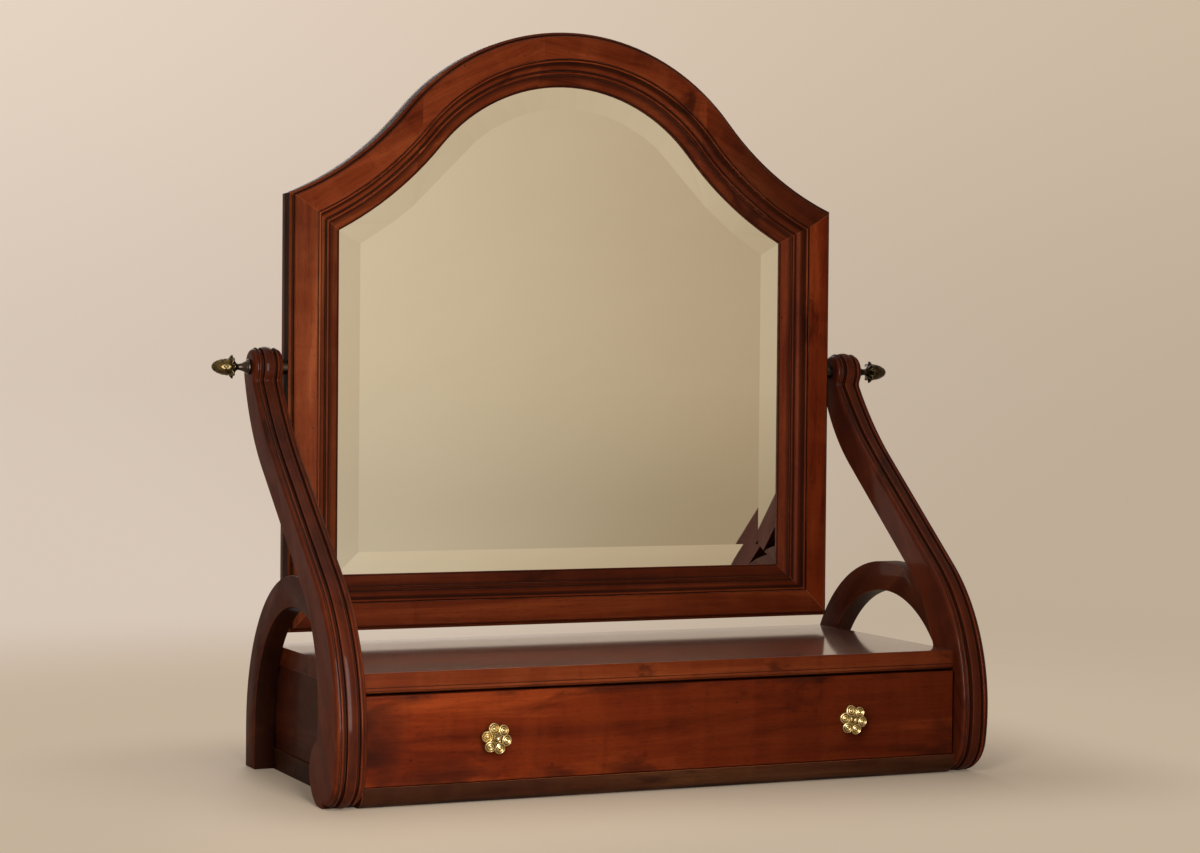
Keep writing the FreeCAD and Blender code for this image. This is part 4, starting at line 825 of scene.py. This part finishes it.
acorn = {
    "collar": [(2.6, 0), (7.2, 0), (7.5, 0.5), (7.5, 2.2), (6.9, 2.9), (6.3, 3.1), (6.2, 3.6), (5.2, 4.9),
               (4.3, 6.8), (3.5, 9.2), (3.2, 11.2), (3.4, 12.8), (4.2, 13.9)],
    "cap": [(3.2, 12.6), (4.4, 13.6), (6.0, 15.0), (7.8, 16.6), (9.3, 18.0), (10.1, 19.0), (10.0, 19.8),
            (9.2, 20.3), (8.2, 20.6)],
    "nut": [(8.3, 19.4), (8.7, 20.6), (8.8, 22.0), (8.7, 23.6), (8.5, 25.2), (8.2, 26.8), (7.8, 28.4),
            (7.3, 30.0), (6.7, 31.5), (6.0, 33.0), (5.2, 34.4), (4.3, 35.6), (3.3, 36.6), (2.2, 37.4),
            (1.1, 37.85), (0, 38.0)],
    "steps": {"collar": 40, "cap": 96, "nut": 80}, "crisp": 60,
    # the leaves of the cap begin at this radius and reach full size over this span
    "leaves": 8, "leafStart": 6.0, "leafSpan": 4.1,
    "leafFlare": 1.7, "leafNotch": 0.9, "leafBack": 2.0, "leafPoint": 1.6,
    # the scales of the nut fade inside one radius and end at the other
    "scales": 5, "relief": 0.9, "twist": 0.62, "scaleFade": 6, "scaleEnd": 1.2,
}


def leafyCap(v):
    # draws the rim of the cap out into points that bend back towards the neck
    radius = math.hypot(v.co.x, v.co.y)
    share = max(0.0, (radius / mm - acorn["leafStart"]) / acorn["leafSpan"])
    wave = abs(math.cos(math.atan2(v.co.y, v.co.x) * acorn["leaves"] / 2)) ** acorn["leafPoint"]
    out = wave * acorn["leafFlare"] - acorn["leafNotch"] * (1 - wave)
    grow = 1 + out * share * mm / max(radius, mm)
    v.co.x *= grow
    v.co.y *= grow
    v.co.z -= acorn["leafBack"] * wave * share * share * mm


def scaledNut(v):
    # crossing rows of small leaves, fading out towards the tip
    radius = math.hypot(v.co.x, v.co.y)
    if radius < acorn["scaleEnd"] * mm:
        return
    around = math.atan2(v.co.y, v.co.x) * acorn["scales"]
    climb = v.co.z / mm * acorn["twist"]
    swell = math.sqrt(abs(math.sin(around + climb) * math.sin(around - climb)))
    fade = min(1.0, radius / mm / acorn["scaleFade"])
    sink = (1 - swell) * acorn["relief"] * fade * mm
    v.co.x *= 1 - sink / radius
    v.co.y *= 1 - sink / radius


def castAcorn(name, node, body, side, brass):
    bm = bmesh.new()
    for shape, reshape in (("collar", None), ("cap", leafyCap), ("nut", scaledNut)):
        part = bmesh.new()
        turned(part, acorn[shape], acorn["steps"][shape])
        cleanTurning(part)
        closeEnds(part)
        if reshape:
            for v in part.verts:
                reshape(v)
        for face in part.faces:
            face.material_index = 0 if shape == "collar" else 1
        joinInto(bm, part)
    low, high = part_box(node)
    seat = low.x if side > 0 else high.x
    turn = Matrix.Rotation(side * math.pi / 2, 4, "Y")
    place = Matrix.Translation((seat, (low.y + high.y) / 2, (low.z + high.z) / 2)) @ turn
    bmesh.ops.transform(bm, matrix=place, verts=bm.verts)
    smoothByAngle(bm, acorn["crisp"])
    finished(bm, name, body, [darkBronze, brass], node)


castAcorn("left_acorn", "left_finial", "left_thumb_screw", -1, acornBrass)
# the right acorn takes the darker, shaded copy of the brass: painted shade
castAcorn("right_acorn", "right_finial", "right_thumb_screw", 1, shadedAcornBrass)
print("knobs and acorns cast")

boardScrew = {
    "head": [(3.3, 0), (3.4, 0.25), (3.0, 0.8), (2.2, 1.2), (1.2, 1.42), (0, 1.5)],
    "height": 1.5, "steps": 28, "crisp": 40,
    "slotWidth": 0.8, "slotDepth": 0.9, "slotFloor": 0.05,
    # spots of the CAD screws that are nearer than this belong to one head
    "apart": 8, "atRear": 0.01,
    # radians that the first slot is turned, and each next one further
    "firstTurn": 0.7, "nextTurn": 1.9,
}


def slottedHead():
    bm = bmesh.new()
    turned(bm, boardScrew["head"], boardScrew["steps"])
    cleanTurning(bm)
    half = boardScrew["slotWidth"] / 2 * mm
    for side in (-1, 1):
        cutAcross(bm, (side * half, 0, 0), (1, 0, 0))
    floor = [f for f in bm.faces if abs(f.calc_center_median().x) < half * 0.99]
    sunk = bmesh.ops.extrude_face_region(bm, geom=floor)["geom"]
    bmesh.ops.delete(bm, geom=[f for f in floor if f.is_valid], context="FACES")
    for v in [g for g in sunk if isinstance(g, bmesh.types.BMVert)]:
        v.co.z = max(v.co.z - boardScrew["slotDepth"] * mm, boardScrew["slotFloor"] * mm)
    closeEnds(bm)
    return bm


def boardScrews():
    # round-headed slotted screws where the CAD screws stand, each turned by its own amount
    source = mergedCopy("back_board_screws")
    rear = max(v.co.y for v in source.verts)
    rims = [v.co.copy() for v in source.verts if v.co.y > rear - boardScrew["atRear"] * mm]
    source.free()
    heads = []
    for spot in rims:
        near = [spots for spots in heads if (spots[0] - spot).length < boardScrew["apart"] * mm]
        if near:
            near[0].append(spot)
        else:
            heads.append([spot])
    whole = bmesh.new()
    for i, spots in enumerate(heads):
        low = Vector([min(s[k] for s in spots) for k in range(3)])
        high = Vector([max(s[k] for s in spots) for k in range(3)])
        middle = (low + high) / 2
        bm = slottedHead()
        turn = Matrix.Rotation(boardScrew["firstTurn"] + boardScrew["nextTurn"] * i, 4, "Z")
        seat = Matrix.Translation((middle.x, rear - boardScrew["height"] * mm, middle.z))
        lie = seat @ Matrix.Rotation(-math.pi / 2, 4, "X")
        bmesh.ops.transform(bm, matrix=lie @ turn, verts=bm.verts)
        joinInto(whole, bm)
    smoothByAngle(whole, boardScrew["crisp"])
    finished(whole, "back_board_slotted_screws", "mirror", [screwSteel], "back_board_screws")
    print("back board screws:", len(heads))


boardScrews()


# floor, backdrop and light

studio = {
    "floor": rgb(0.68, 0.55, 0.42), "floorShade": rgb(0.60, 0.48, 0.36), "floorPale": rgb(0.56, 0.445, 0.33),
    "floorDrop": 0.0002, "floorRadius": 40.0,
    # the floor's own tone turns into the backdrop's between these distances
    "paleEnd": 0.7, "paleGone": 1.8,
    # half of the object's footprint, and how far around it the floor takes its shadow
    "footprint": (0.34, 0.16, 1.0), "hazeStart": -0.02, "hazeEnd": 0.28, "hazeLeast": 0.20,
    # tones of the backdrop behind and in front of the object, and where left turns into right
    "behindLeft": rgb(0.75, 0.625, 0.52), "behindRight": rgb(0.56, 0.45, 0.335), "behindTurn": (0.10, 0.66),
    "frontLeft": rgb(0.73, 0.605, 0.45), "frontRight": rgb(0.460, 0.350, 0.225), "frontTurn": (0.26, 0.52),
    # how the tone changes with height: from, to, share at each
    "behindRise": (-0.02, 0.16, 0.92, 1.08), "frontRise": (-0.09, 0.03, 0.80, 1.0),
    "lowRise": (-0.8, -0.15, 0.78, 1.0),
    # where front turns into behind, and the height that headings start from
    "frontToBehind": (-0.15, 0.15), "eyeHeight": 0.4,
    "ambient": rgb(1.0, 0.97, 0.93), "ambientStrength": 0.12,
}


def makeBackdropTone():
    # the pale backdrop by heading: it darkens a little to the right, and is lighter above
    tree, given, puts = newGroup("backdropTone", [("Heading", "Vector")], [("Color", "Color")])
    level = vectors(tree, "MULTIPLY", given["Heading"], (1, 1, 0))
    axes = axesOf(tree, vectors(tree, "NORMALIZE", level))
    height = axesOf(tree, given["Heading"])[2]
    behind = mixColour(tree, rise(tree, axes[0], *studio["behindTurn"]),
                       studio["behindLeft"], studio["behindRight"])
    before = mixColour(tree, rise(tree, axes[0], *studio["frontTurn"]),
                       studio["frontLeft"], studio["frontRight"])
    low = rise(tree, height, *studio["lowRise"])
    before = scaled(tree, before, maths(tree, "MULTIPLY", rise(tree, height, *studio["frontRise"]), low))
    behind = scaled(tree, behind, maths(tree, "MULTIPLY", rise(tree, height, *studio["behindRise"]), low))
    seen = mixColour(tree, rise(tree, axes[1], *studio["frontToBehind"]), before, behind)
    tree.links.new(seen, puts["Color"])
    return tree


backdropTone = makeBackdropTone()


def sees(tree):
    # one for a camera, mirror or glass ray, and none for light that falls on the object
    path = addNode(tree, "ShaderNodeLightPath").outputs
    seen = maths(tree, "MAXIMUM", path["Is Camera Ray"], path["Is Glossy Ray"])
    return maths(tree, "MAXIMUM", seen, path["Is Transmission Ray"])


def floorFinish():
    material, tree = newMaterial("pale_floor")
    place = objectPlace(tree)
    cloudy = cloud(tree, place, (3, 3, 3), 4.0, 0.55)
    tone = mixColour(tree, rise(tree, cloudy, 0.3, 0.7, 0.0, 0.5), studio["floor"], studio["floorShade"])
    lit = addNode(tree, "ShaderNodeBsdfPrincipled", {"Base Color": tone, "Roughness": 0.6,
                                                     "Specular IOR Level": 0.2})
    # how far a spot lies outside the footprint of the object
    over = vectors(tree, "SUBTRACT", vectors(tree, "ABSOLUTE", place), studio["footprint"])
    over = vectors(tree, "MAXIMUM", over, (0, 0, 0))
    outside = vectors(tree, "LENGTH", over, out="Value")
    haze = rise(tree, outside, studio["hazeStart"], studio["hazeEnd"], studio["hazeLeast"], 1.0)
    # away from the object the floor takes the backdrop's tone
    heading = vectors(tree, "NORMALIZE", vectors(tree, "ADD", place, (0, 0, -studio["eyeHeight"])))
    distance = vectors(tree, "LENGTH", place, out="Value")
    pale = mixColour(tree, rise(tree, distance, studio["paleEnd"], studio["paleGone"]), studio["floorPale"],
                     useGroup(tree, backdropTone, {"Heading": heading})["Color"])
    glow = addNode(tree, "ShaderNodeEmission", {"Color": pale, "Strength": 1.0})
    share = maths(tree, "MULTIPLY", haze, sees(tree))
    both = addNode(tree, "ShaderNodeMixShader", {0: share, 1: lit.outputs[0], 2: glow.outputs[0]})
    addNode(tree, "ShaderNodeOutputMaterial", {"Surface": both.outputs[0]})
    return material


def layFloor():
    bm = bmesh.new()
    bmesh.ops.create_circle(bm, cap_ends=True, radius=studio["floorRadius"], segments=96)
    mesh = bpy.data.meshes.new("floor")
    bm.to_mesh(mesh)
    bm.free()
    mesh.materials.append(floorFinish())
    floor = bpy.data.objects.new("floor", mesh)
    floor.location.z = -studio["floorDrop"]
    scene.collection.objects.link(floor)


def paintWorld():
    world = bpy.data.worlds.new("studio")
    scene.world = world
    world.use_nodes = True
    tree = world.node_tree
    tree.nodes.clear()
    heading = addNode(tree, "ShaderNodeTexCoord").outputs["Generated"]
    seen = useGroup(tree, backdropTone, {"Heading": heading})["Color"]
    pale = addNode(tree, "ShaderNodeBackground", {"Color": seen, "Strength": 1.0})
    soft = addNode(tree, "ShaderNodeBackground", {"Color": studio["ambient"],
                                                  "Strength": studio["ambientStrength"]})
    both = addNode(tree, "ShaderNodeMixShader", {0: sees(tree), 1: soft.outputs[0], 2: pale.outputs[0]})
    addNode(tree, "ShaderNodeOutputWorld", {"Surface": both.outputs[0]})


lamps = {
    # name: place, aim, width and height, watts, colour
    "keySoftbox": ((-0.37, -0.82, 0.38), (-0.10, 0.0, 0.36), (0.26, 0.66), 9.0, (1.0, 0.965, 0.92)),
    "fillSoftbox": ((1.90, -1.50, 2.60), (0.0, 0.0, 0.30), (1.20, 1.20), 1.5, (1.0, 0.97, 0.94)),
    "topSoftbox": ((0.05, 0.30, 2.50), (0.0, 0.0, 0.0), (1.60, 1.60), 6.0, (1.0, 0.98, 0.96)),
    "backSoftbox": ((0.30, 2.10, 1.50), (0.0, 0.10, 0.35), (1.20, 1.20), 14.0, (1.0, 0.97, 0.94)),
}


def hangLamps():
    for name, (place, target, sides, watts, colour) in lamps.items():
        light = bpy.data.lights.new(name, "AREA")
        light.shape = "RECTANGLE"
        light.size, light.size_y = sides
        light.energy = watts
        light.color = colour
        lamp = bpy.data.objects.new(name, light)
        lamp.visible_camera = False
        lamp.location = place
        lamp.rotation_euler = (Vector(target) - Vector(place)).to_track_quat("-Z", "Y").to_euler()
        scene.collection.objects.link(lamp)


photoView = {
    "place": (-1.06995, -2.37800, 0.39707), "yaw": 23.9079, "pitch": -1.2306, "roll": 0.4999,
    "lens": 79.13, "sensor": 36.0, "farthest": 60.0,
}


def setCamera():
    camera = bpy.data.cameras.new("photoView")
    camera.lens = photoView["lens"]
    camera.sensor_width = photoView["sensor"]
    camera.clip_end = photoView["farthest"]
    holder = bpy.data.objects.new("photoView", camera)
    turn = (Matrix.Rotation(-math.radians(photoView["yaw"]), 4, "Z")
            @ Matrix.Rotation(math.radians(90 + photoView["pitch"]), 4, "X")
            @ Matrix.Rotation(math.radians(photoView["roll"]), 4, "Z"))
    holder.matrix_world = Matrix.Translation(photoView["place"]) @ turn
    scene.collection.objects.link(holder)
    scene.camera = holder


layFloor()
paintWorld()
hangLamps()
setCamera()
print("floor, backdrop, lamps and camera set")
